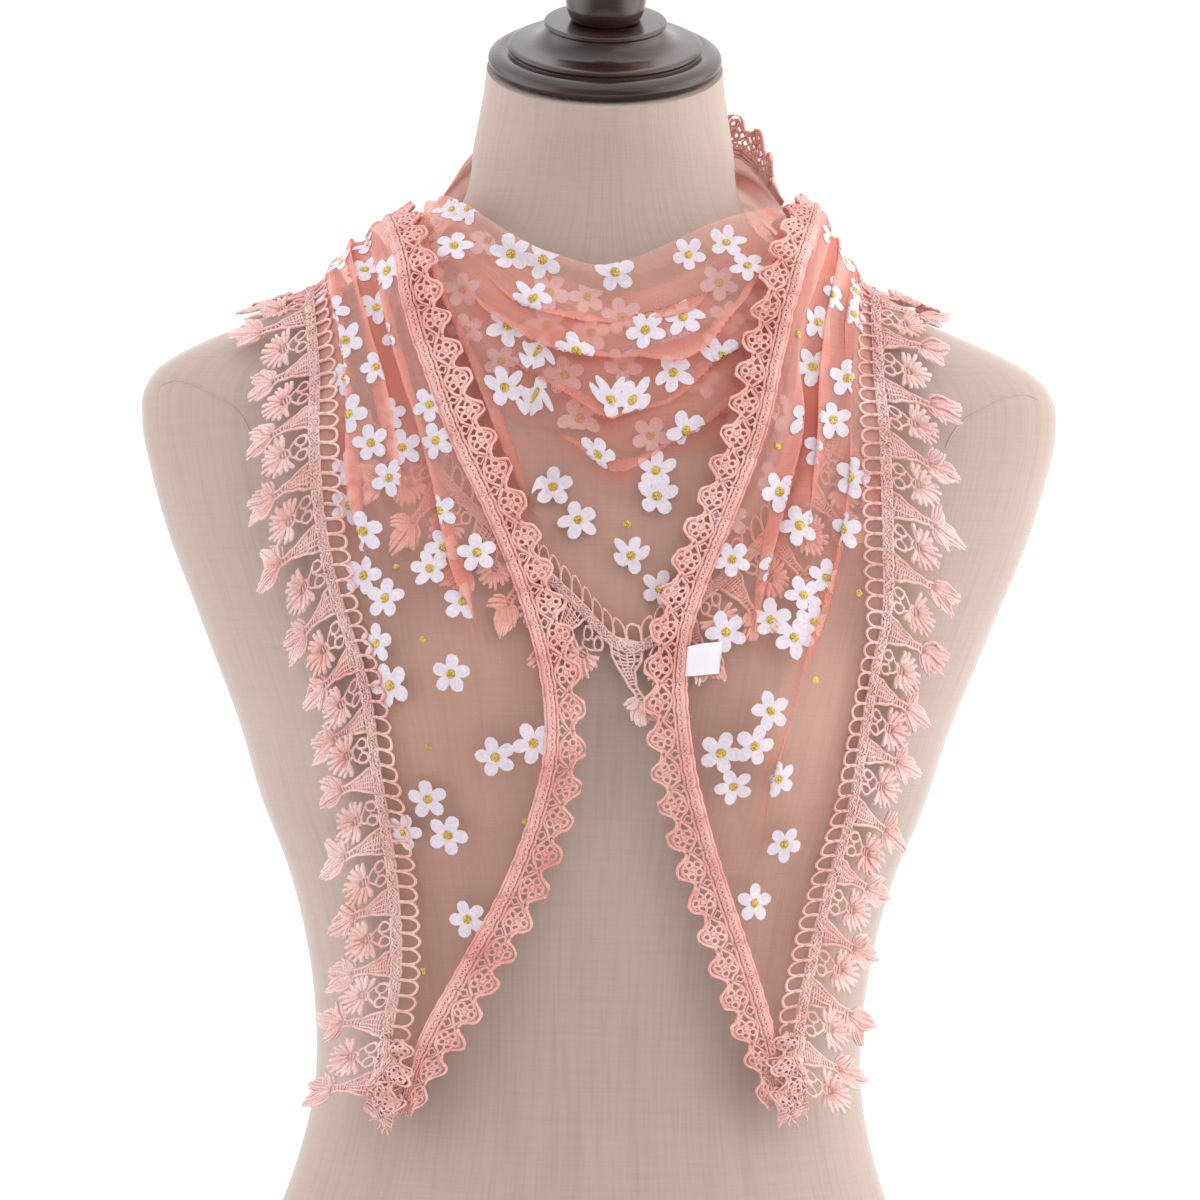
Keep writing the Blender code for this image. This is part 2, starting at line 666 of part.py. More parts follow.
def turned(name, profile, mat):
    """A turned piece on the tilted neck top: a profile from top to foot, swept round Z."""
    verts = [(r * MM, 0, h * MM) for r, h in profile]
    mesh = bpy.data.meshes.new(name)
    mesh.from_pydata(verts, [(k, k + 1) for k in range(len(verts) - 1)], [])
    made = add_object(name, mesh, mat)
    sweep = made.modifiers.new("turning", "SCREW")
    sweep.steps = CAP_SEGMENTS
    sweep.render_steps = CAP_SEGMENTS
    sweep.use_merge_vertices = True
    sweep.merge_threshold = 0.00001
    sweep.use_normal_calculate = True
    made.rotation_euler = (NECK_TILT, 0, 0)
    return made


def build_cap(mat):
    seat = Vector((0, FORM_RINGS[-1].lean, NECK_TOP))
    up = Vector((0, -math.sin(NECK_TILT), math.cos(NECK_TILT)))
    cap = turned("neck_cap", [(p.radius, p.height) for p in CAP_PROFILE], mat)
    cap.location = (seat + up * SEAM_GAP) * MM
    foot = math.sqrt(KNOB_RADIUS**2 - KNOB_FOOT_RADIUS**2)
    centre = KNOB_FOOT_HEIGHT + foot
    lowest = math.asin(-foot / KNOB_RADIUS)
    profile = []
    for share in np.linspace(math.pi / 2, lowest, 7):
        profile.append((KNOB_RADIUS * max(math.cos(share), 0), centre + KNOB_RADIUS * math.sin(share)))
    profile[0] = (0, profile[0][1])
    profile += [(KNOB_FOOT_RADIUS + 2, KNOB_FOOT_HEIGHT / 2), (KNOB_FOOT_RADIUS + 1, 0), (0, 0)]
    knob = turned("neck_knob", profile, mat)
    knob.location = (seat + up * (CAP_PROFILE[0].height + 2 * SEAM_GAP)) * MM


# ---------------------------------------------------------------- care label

def build_label(edge, at, mat):
    """A small folded tab, caught under the edging and lying on the tail."""
    label = FlatLace()
    reach, height = LABEL_SIZE
    for low, high in ((at - height / 2, at), (at, at + height / 2)):
        for near, far in ((SEAM_GAP, reach / 2), (reach / 2, reach)):
            label.face((low, -near), (high, -near), (high, -far), (low, -far))
    above = VOILE_THICKNESS / 2 + LABEL_GAP + LABEL_THICKNESS / 2 - LACE_OFFSET
    return label.lay("care_label", edge, mat, above, LABEL_THICKNESS)


# ---------------------------------------------------------------- the whole object

PLACES = 2


def chain(*parts):
    """Joins tables of rows, and says at which index each part starts."""
    rows = []
    starts = []
    for part in parts:
        starts.append(len(rows))
        rows += list(part)
    return rows, starts


def main():
    for old in list(bpy.data.objects):
        bpy.data.objects.remove(old)
    bpy.context.scene.collection.children.link(bpy.data.collections.new(COLLECTION))
    linen = material("linen", (0.56, 0.51, 0.45), 0.9)
    wood = material("dark_wood", (0.035, 0.022, 0.018), 0.3)
    voile = material("voile", (0.86, 0.45, 0.38), 0.7)
    lace = material("lace", (0.87, 0.42, 0.35), 0.75)
    white = material("label_white", (0.9, 0.9, 0.9), 0.6)
    build_form(linen)
    build_cap(wood)
    guide = Guide()

    rows, starts = chain(RIGHT_NECK, BIB, LEFT_NECK)
    bib = Cloth(guide, rows, [(0, len(rows) - 1, BIB_FOLDS)], PLACES)
    bib_end = (len(rows) - 1) * PLACES

    rows, starts = chain(LEFT_NECK, RIGHT_WRAP, RIGHT_SHOULDER, RIGHT_TAIL)
    shoulder = starts[2]
    right = Cloth(guide, rows, [(0, shoulder, WRAP_FOLDS_RIGHT),
                                (shoulder, len(rows) - 1, TAIL_FOLDS_RIGHT)], PLACES)
    right_shoulder = shoulder * PLACES
    right_end = (len(rows) - 1) * PLACES

    rows, starts = chain(LEFT_TAIL, LEFT_SHOULDER, LEFT_WRAP, RIGHT_NECK)
    shoulder = starts[1]
    left = Cloth(guide, rows, [(0, shoulder, TAIL_FOLDS_LEFT),
                               (shoulder, len(rows) - 1, WRAP_FOLDS_LEFT)], PLACES)
    left_shoulder = shoulder * PLACES
    left_end = (len(rows) - 1) * PLACES

    crossed = 6 * PLACES
    right_fringe = 4 * PLACES
    bib_fringe = (2 * PLACES, bib_end - 2 * PLACES)
    sheet = slice(bib.first, bib.last + 1)
    outside = slice(bib.last, None)
    bib_tops = [bib.tree(0, bib_end + 1, sheet), bib.tree(bib_fringe[0], bib_fringe[1] + 1, outside)]
    right_tops = [right.tree(0, crossed + 1, sheet), right.tree(right_fringe, crossed + 1, outside)]
    left.raise_over(bib_tops + right_tops, keep_end=2 * PLACES)
    left_last = left.tree(left_end - 3 * PLACES, left_end + 1)
    right.raise_over(bib_tops + [left_last], keep=crossed)

    build_voile("voile_bib", bib, 0, bib_end, voile)
    build_voile("voile_tail_left", left, 0, left_shoulder, voile)
    build_voile("voile_wrap_left", left, left_shoulder, left_end, voile)
    build_voile("voile_wrap_right", right, 0, right_shoulder, voile)
    build_voile("voile_tail_right", right, right_shoulder, right_end, voile)

    build_edging("edging_tail_left", EdgeMap(left, "inner", 0, left_shoulder), lace)
    build_edging("edging_wrap_left", EdgeMap(left, "inner", left_shoulder, left_end), lace)
    build_edging("edging_wrap_right", EdgeMap(right, "inner", crossed - 1, right_shoulder), lace)
    tail_edging = EdgeMap(right, "inner", right_shoulder, right_end)
    build_edging("edging_tail_right", tail_edging, lace)
    build_fringe("fringe_tail_left", EdgeMap(left, "outer", 0, left_shoulder), lace)
    build_fringe("fringe_wrap_left", EdgeMap(left, "outer", left_shoulder, left_end - 3 * PLACES), lace)
    build_fringe("fringe_bib", EdgeMap(bib, "outer", *bib_fringe), lace)
    build_fringe("fringe_wrap_right", EdgeMap(right, "outer", right_fringe, right_shoulder), lace)
    build_fringe("fringe_tail_right", EdgeMap(right, "outer", right_shoulder, right_end), lace)
    build_label(tail_edging, 246.0, white)


main()
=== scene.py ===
"""Looks for the lace shawl on a dress form: cloth, laces, flowers, form, wood, light and camera.

The tables and the surface of the form repeat the model's own, in millimetres. Cloth is laid on the
form's surface at fine steps, creased in its own sizes, and laces are swept threads.
"""

from collections import namedtuple
import math

import bpy
import numpy as np
from mathutils import Matrix, Vector
from mathutils.bvhtree import BVHTree
from mathutils.interpolate import poly_3d_calc


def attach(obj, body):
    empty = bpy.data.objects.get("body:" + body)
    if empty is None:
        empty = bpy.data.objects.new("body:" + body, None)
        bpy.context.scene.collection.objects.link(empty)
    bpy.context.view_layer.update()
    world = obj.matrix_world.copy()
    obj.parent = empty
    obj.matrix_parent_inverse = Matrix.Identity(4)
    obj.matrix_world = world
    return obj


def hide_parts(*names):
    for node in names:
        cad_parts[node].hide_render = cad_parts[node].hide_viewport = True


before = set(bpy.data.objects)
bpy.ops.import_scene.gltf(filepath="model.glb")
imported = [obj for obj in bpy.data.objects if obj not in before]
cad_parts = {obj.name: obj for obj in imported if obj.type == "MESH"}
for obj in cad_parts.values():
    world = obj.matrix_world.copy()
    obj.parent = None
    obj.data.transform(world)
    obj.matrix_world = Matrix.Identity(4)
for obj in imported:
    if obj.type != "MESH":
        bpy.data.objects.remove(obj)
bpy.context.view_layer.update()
MM = 0.001

# ---------------------------------------------------------------- dress form

FormRing = namedtuple("FormRing", "height half_width front back exponent lean")
FORM_RINGS = tuple(FormRing(*ring) for ring in (
    (0, 165, 104, 118, 2.2, 0), (55, 159, 102, 116, 2.2, 0), (100, 147, 97, 108, 2.2, 0),
    (140, 129, 90, 97, 2.2, 0), (190, 117, 84, 88, 2.2, 0), (225, 118, 85, 86, 2.2, 0),
    (280, 130, 92, 88, 2.2, 0), (310, 142, 97, 91, 2.25, 0), (342, 152, 100, 95, 2.3, 0),
    (370, 163, 99, 99, 2.3, 0), (395, 173, 95, 102, 2.3, 0), (420, 183, 90, 104, 2.3, 0),
    (450, 192, 82, 104, 2.3, 0), (470, 196, 76, 100, 2.3, 0), (484, 195, 71, 96, 2.3, 0),
    (495, 187, 67, 92, 2.25, 0), (503, 173, 64, 88, 2.2, -1), (511, 154, 62, 84, 2.15, -1),
    (520, 132, 60, 79, 2.1, -2), (530, 109, 57, 73, 2.05, -3), (541, 86, 55, 67, 2.0, -4),
    (553, 68, 53, 60, 2.0, -5), (568, 59, 51, 55, 2.0, -7), (590, 55.5, 50, 52, 2.0, -10),
    (610, 53.5, 49, 50, 2.0, -13), (624, 52.5, 48, 49, 2.0, -15),
))
NECK_TOP = FORM_RINGS[-1].height
SHOULDER_RING = 14
NECK_BASE = 560.0
NECK_TILT = math.radians(18)
BUST_RISE = 14.0
BUST_SIDE = 68.0
BUST_HEIGHT = 352.0
BUST_SPREAD = (42.0, 48.0)
FORM_GUIDE_SEGMENTS = 144
FORM_GUIDE_RINGS = 200

# ---------------------------------------------------------------- shawl tables

# A row says where a line across the cloth meets the form. Its inner end is on the long edge and its
# outer end on a short edge. side says on which face of the form both ends lie: front and back rows
# give x and height, and ridge rows lie on the line over the shoulder and give x alone.
Row = namedtuple("Row", "side inner_x inner_z inner_lift outer_x outer_z outer_lift")


def table(side, *rows):
    return tuple(Row(side, *row) for row in rows)


LEFT_TAIL = table(
    "front",
    (-71, 183, 15, -79, 187, 15), (-63, 216, 14, -74, 217, 14), (-50, 246, 12, -72, 246, 12),
    (-33, 284, 8, -76, 284, 8), (-22, 322, 5, -83, 322, 5), (-21, 354, 4, -89, 356, 3),
    (-30, 392, 5, -100, 392, 3), (-44, 428, 6, -109, 430, 3), (-62, 465, 8, -113, 462, 3),
    (-76, 503, 11, -116, 492, 3), (-80, 529, 14, -119, 514, 3),
)
LEFT_SHOULDER = table("ridge", (-84, None, 17, -120, None, 3))
LEFT_WRAP = table(
    "back",
    (-81, 538, 13, -117, 514, 3), (-77, 527, 9, -109, 482, 3), (-61, 506, 6, -90, 446, 3),
    (-38, 506, 5, -52, 432, 3), (-20, 524, 5, -12, 450, 3), (0, 552, 5, 22, 488, 3),
    (24, 578, 5, 50, 518, 3), (46, 586, 8, 78, 529, 4.5),
)
RIGHT_NECK = table("ridge", (63, None, 9, 102, None, 5.5))
BIB = table(
    "front",
    (61, 559, 9, 102, 508, 4.5), (58, 555, 9, 97, 470, 3.5), (43, 551, 8, 84, 447, 3),
    (26, 543, 7, 62, 418, 1.4), (12, 537, 7, 36, 394, 1.8), (-1, 534, 7, 15, 378, 3),
    (-14, 537, 7, -8, 397, 1.8), (-27, 541, 7, -32, 419, 1.4), (-42, 550, 8, -58, 442, 2),
    (-54, 561, 9, -84, 478, 3.5), (-59, 563, 9, -97, 512, 4.5),
)
LEFT_NECK = table("ridge", (-61, None, 9, -104, None, 5.5))
RIGHT_WRAP = table(
    "back",
    (-45, 588, 8, -80, 518, 4.5), (-24, 574, 5, -54, 508, 3), (0, 547, 4, -24, 482, 3),
    (20, 520, 4, 12, 446, 3), (38, 496, 4, 52, 426, 3), (61, 490, 6, 92, 438, 3),
    (76, 513, 9, 108, 478, 3), (79, 535, 14, 113, 514, 3),
)
RIGHT_SHOULDER = table("ridge", (79, None, 20, 112, None, 3))
RIGHT_TAIL = table(
    "front",
    (77, 520, 14, 112, 518, 4), (73, 493, 10, 113, 494, 3), (66, 460, 8, 114, 462, 3),
    (43, 397, 5, 113, 398, 3), (38, 370, 5.5, 111, 370, 3), (40, 342, 7.5, 106, 342, 4),
    (46, 308, 7, 100, 309, 6), (62, 250, 12, 83, 252, 12), (70, 216, 14, 77, 219, 14),
    (72, 188, 15, 77, 192, 15),
)

# A fold runs along the cloth between two places of its stretch, from 0 to 1, and lies at a share of
# the width, from 0 at the long edge to 1 at the short edge. reach is its half width as such a share.
Fold = namedtuple("Fold", "start end from_across to_across height reach")


def folds(*rows):
    return tuple(Fold(*row) for row in rows)


TAIL_FOLDS_LEFT = folds(
    (0.35, 1.20, 0.10, 0.14, 6.0, 0.10), (0.50, 1.25, 0.48, 0.42, 6.5, 0.11),
    (0.62, 1.25, 0.80, 0.72, 5.0, 0.10), (0.10, 0.70, 0.30, 0.36, 2.0, 0.14),
)
WRAP_FOLDS_LEFT = folds(
    (-0.35, 1.40, 0.18, 0.18, 6.0, 0.10), (-0.35, 1.40, 0.46, 0.46, 6.0, 0.10),
    (-0.30, 1.40, 0.72, 0.72, 4.5, 0.10),
)
BIB_FOLDS = folds(
    (0.02, 0.98, 0.02, 0.02, 5.0, 0.05), (-0.40, 1.40, 0.18, 0.18, 6.0, 0.10),
    (0.06, 0.94, 0.33, 0.30, 6.5, 0.08), (-0.40, 1.40, 0.46, 0.46, 6.0, 0.10),
    (-0.40, 0.40, 0.72, 0.72, 4.5, 0.10), (0.62, 1.40, 0.72, 0.72, 4.5, 0.10),
)
WRAP_FOLDS_RIGHT = folds(
    (-0.40, 1.30, 0.18, 0.18, 6.0, 0.10), (-0.40, 1.30, 0.46, 0.46, 6.0, 0.10),
    (-0.40, 1.30, 0.72, 0.72, 4.5, 0.10),
)
TAIL_FOLDS_RIGHT = folds(
    (-0.20, 0.60, 0.14, 0.10, 6.5, 0.10), (-0.25, 0.52, 0.42, 0.46, 7.0, 0.11),
    (-0.25, 0.42, 0.72, 0.80, 5.0, 0.10), (0.25, 0.90, 0.62, 0.56, 2.0, 0.14),
)

# ---------------------------------------------------------------- cloth and lace sizes

PLACES = 12                     # fine rows from one table row to the next
COLUMNS = 60                    # fine columns from the long edge to the short edge
SHEET_COLUMNS = 132             # columns of a finished sheet
LIP_COLUMNS = 56
EDGING_OUT = (17.0, 12.75, 8.5, 4.25)
FRINGE_OUT = (5.5, 11.0, 16.5, 22.0, 27.5, 33.0, 38.5, 44.0, 49.5, 56.0)
FRINGE_RISE = ((0.0, 11.0, 22.0, 33.0, 45.0, 56.0), (0.0, 0.8, 1.8, 3.0, 4.5, 5.4))
SHEET_CLEARANCE = 1.3
LACE_CLEARANCE = 2.2
LACE_LIFT = 0.9
LEAST_LIFT = 0.9
FOLD_END = 0.22                 # share of a fold's length over which it rises at each end
REACH = 70                      # how far above the form other cloth is looked for
GROWN_CELLS = 2                 # how much wider than the cloth below the lift is made
SPREAD_PASSES = 70              # how far the lift slopes down beside it
SOFT_PASSES = 14
EDGING_PITCH = 14.5
LOOP_PITCH = 6.5
LOOPS_PER_REPEAT = 4
REPEAT = LOOPS_PER_REPEAT * LOOP_PITCH
HEADER_RAILS = (0.1, 1.35, 2.6, 3.85)
HEADER_TURNS = 29
LONG_MOTIF = 6.6                # where the middle of each motif lies along a repeat
SHORT_MOTIF = 19.4
LOOP_ROOM = 11.8                # cloth narrower than this squeezes the loops that lie on it

# A crease follows points (row, across) of a run of rows. Its cloth overlaps itself there by about
# 1.3 widths. side is 1 where the cloth nearer the long edge lies on top, and -1 where the other does.
Crease = namedtuple("Crease", "points width height side fade")
BIB_CREASES = (
    Crease(((1.2, .16), (2.12, .24), (3.0, .32), (3.62, .36), (4.25, .35), (5.25, .28), (6.25, .26),
            (7.38, .29), (8.12, .32), (8.75, .33), (9.3, .33)), 6.0, 5.5, 1, 0.9),
    Crease(((2.2, .46), (3.38, .44), (4.0, .45), (4.62, .46), (5.0, .45), (5.62, .41), (6.62, .42),
            (7.38, .43), (7.88, .44), (8.5, .46)), 4.2, 3.6, 1, 0.9),
    Crease(((7.7, .90), (8.0, .80), (8.38, .70), (8.75, .60), (9.12, .54), (9.5, .48), (9.75, .44),
            (10.0, .40), (11.12, .28)), 6.5, 6.0, 1, 0.5),
    Crease(((0.3, .34), (1.5, .40), (2.4, .56), (3.0, .72), (3.3, .80)), 5.5, 5.0, 1, 0.6),
    Crease(((3.4, .23), (4.2, .215), (5.2, .17), (6.2, .16), (7.2, .19), (8.2, .22), (9.0, .235)),
           3.6, 3.0, 1, 0.9),
    Crease(((2.6, .60), (3.6, .575), (4.8, .56), (5.8, .545), (6.8, .55), (7.6, .57)),
           3.4, 2.6, 1, 0.9),
)
# The lip is the front fold's underside, between these shares (row, across) of the width.
LIP_START = ((0, .04), (3.25, .09), (4.12, .11), (4.88, .09), (6.12, .06), (7.25, .06), (12, .03))
LIP_END = ((0, .70), (3.0, .70), (4.12, .66), (4.88, .56), (6.38, .46), (7.38, .54), (7.62, .56),
           (8.25, .62), (8.75, .60), (10, .56), (12, .56))
LEFT_CREASES = (
    Crease(((5.6, .32), (6.0, .31), (7.12, .28), (8.0, .20), (9.0, .20), (10.0, .24), (11.0, .26),
            (12.5, .24), (14.0, .2), (16.0, .2), (19.0, .2)), 3.6, 3.4, 1, 1.2),
    Crease(((6.8, .52), (8.0, .46), (9.0, .44), (10.0, .50), (11.0, .52), (12.5, .5), (14.0, .46),
            (16.0, .46), (19.0, .46)), 3.4, 3.2, -1, 1.2),
    Crease(((6.2, .80), (7.12, .80), (8.38, .72), (9.75, .72),
            (11.0, .76), (12.5, .72), (15.0, .74), (17.5, .72)), 3.2, 2.8, 1, 1.4),
)
RIGHT_CREASES = (
    Crease(((1.0, .2), (4.0, .2), (7.0, .22), (9.0, .24), (10.0, .2), (10.62, .15), (11.75, .26),
            (12.38, .28), (13.12, .32), (13.8, .34)), 3.8, 3.6, 1, 1.2),
    Crease(((1.0, .46), (4.0, .46), (7.0, .5), (9.0, .5), (10.0, .44), (11.2, .48), (12.0, .5),
            (12.8, .52)), 3.4, 3.4, -1, 1.2),
    Crease(((1.5, .72), (5.0, .74), (8.0, .76), (9.2, .74), (10.12, .70), (11.62, .74), (12.38, .78),
            (13.0, .68), (14.5, .50), (16.12, .38)), 2.2, 1.6, -1, 1.6),
)

# ---------------------------------------------------------------- small tools

def smooth_curve(knots, values, at):
    """A cubic curve through values at knots, read at the places in at."""
    knots = np.asarray(knots, float)
    values = np.asarray(values, float)
    at = np.asarray(at, float)
    slopes = np.gradient(values, knots, axis=0)
    i = np.clip(np.searchsorted(knots, at, side="right") - 1, 0, len(knots) - 2)
    step = knots[i + 1] - knots[i]
    t = (at - knots[i]) / step
    if values.ndim > 1:
        t = t[..., None]
        step = step[..., None]
    start = (2 * t**3 - 3 * t**2 + 1) * values[i] + (t**3 - 2 * t**2 + t) * step * slopes[i]
    end = (3 * t**2 - 2 * t**3) * values[i + 1] + (t**3 - t**2) * step * slopes[i + 1]
    return start + end


def smooth_step(x):
    x = np.clip(x, 0.0, 1.0)
    return x * x * (3 - 2 * x)


def unit(vectors):
    length = np.linalg.norm(vectors, axis=-1, keepdims=True)
    return vectors / np.maximum(length, 1e-9)


def grid_normals(points):
    return unit(np.cross(np.gradient(points, axis=0), np.gradient(points, axis=1)))


def distances(points):
    """How far each point of a run lies along it; more runs may lie side by side on a second axis."""
    steps = np.linalg.norm(np.diff(points, axis=-2), axis=-1)
    return np.concatenate([np.zeros(steps.shape[:-1] + (1,)), np.cumsum(steps, axis=-1)], axis=-1)


def grid_faces(rows, columns, closed=False):
    """Quads of a grid of points stored row by row; closed joins the last column to the first."""
    faces = []
    for here in range(0, (rows - 1) * columns, columns):
        there = here + columns
        for j in range(columns if closed else columns - 1):
            k = (j + 1) % columns
            faces.append((here + j, here + k, there + k, there + j))
    return faces


# ---------------------------------------------------------------- the form's surface

def form_value(column, height):
    heights = [ring.height for ring in FORM_RINGS]
    return smooth_curve(heights, [getattr(ring, column) for ring in FORM_RINGS], height)


def form_points(height, angle):
    """Points of the form's surface. angle is 0 at +X, and -90 degrees at the front."""
    height, angle = np.broadcast_arrays(np.asarray(height, float), np.asarray(angle, float))
    power = 2 / form_value("exponent", height)
    across = np.cos(angle)
    deep = np.sin(angle)
    x = form_value("half_width", height) * np.sign(across) * np.abs(across) ** power
    depth = np.where(deep < 0, form_value("front", height), form_value("back", height))
    y = depth * np.sign(deep) * np.abs(deep) ** power
    side = (np.abs(x) - BUST_SIDE) / BUST_SPREAD[0]
    rise = (height - BUST_HEIGHT) / BUST_SPREAD[1]
    y = y - BUST_RISE * np.exp(-side**2 - rise**2) * np.maximum(-deep, 0)
    tilt = smooth_step((height - NECK_BASE) / (NECK_TOP - NECK_BASE)) * math.tan(NECK_TILT)
    return np.stack([x, y + form_value("lean", height), height + y * tilt], axis=-1)


def point_at(side, x, height):
    """The form's surface point of a row's end."""
    if side == "ridge":
        heights = np.linspace(FORM_RINGS[SHOULDER_RING].height, NECK_TOP, 400)
        height = np.interp(-abs(x), -form_value("half_width", heights), heights)
        return form_points(height, 0.0 if x > 0 else math.pi)
    share = min(abs(x) / float(form_value("half_width", height)), 1.0)
    angle = math.acos(math.copysign(share ** (float(form_value("exponent", height)) / 2), x))
    return form_points(height, -angle if side == "front" else angle)


class Guide:
    """The form's surface as a fine mesh, which cloth is laid on."""

    def __init__(self):
        heights = np.linspace(0, NECK_TOP, FORM_GUIDE_RINGS)
        angles = np.linspace(0, 2 * math.pi, FORM_GUIDE_SEGMENTS, endpoint=False)
        points = form_points(heights[:, None], angles[None, :])
        along = np.gradient(points, axis=0)
        around = np.roll(points, -1, axis=1) - np.roll(points, 1, axis=1)
        self.normals = unit(np.cross(around, along)).reshape(-1, 3)
        self.points = points.reshape(-1, 3)
        self.faces = grid_faces(FORM_GUIDE_RINGS, FORM_GUIDE_SEGMENTS, closed=True)
        self.tree = BVHTree.FromPolygons([tuple(p) for p in self.points], self.faces)

    def foot(self, point):
        """The nearest place on the form, and the smooth normal there."""
        place, _, face, _ = self.tree.find_nearest(Vector(point))
        corners = self.faces[face]
        shares = poly_3d_calc([Vector(self.points[c]) for c in corners], place)
        normal = sum(self.normals[c] * s for c, s in zip(corners, shares))
        return np.array(place), unit(normal)

    def feet(self, points):
        flat = [self.foot(p) for p in points.reshape(-1, 3)]
        places = np.array([f[0] for f in flat]).reshape(points.shape)
        normals = np.array([f[1] for f in flat]).reshape(points.shape)
        return places, normals


# ---------------------------------------------------------------- laying the cloth

def fold_lift(stretch_folds, along, across):
    """How far the folds of a stretch stand up at places along and across it."""
    lift = np.zeros(np.broadcast(along, across).shape)
    for fold in stretch_folds:
        share = (along - fold.start) / (fold.end - fold.start)
        ends = smooth_step(share / FOLD_END) * smooth_step((1 - share) / FOLD_END)
        centre = fold.from_across + (fold.to_across - fold.from_across) * np.clip(share, 0, 1)
        lift = lift + fold.height * ends * np.exp(-(((across - centre) / fold.reach) ** 2))
    return lift


def soften(values, times):
    """Blurs a grid along both ways, keeping its borders."""
    for _ in range(times):
        padded = np.pad(values, 1, mode="edge")
        around = padded[:-2, 1:-1] + padded[2:, 1:-1] + padded[1:-1, :-2] + padded[1:-1, 2:]
        values = (4 * values + around) / 8
    return values


# ---------------------------------------------------------------- the cloth's fine grid

def blur_rows(values, times):
    for _ in range(times):
        padded = np.pad(values, ((1, 1), (0, 0)), mode="edge")
        values = (padded[:-2] + 2 * padded[1:-1] + padded[2:]) / 4
    return values


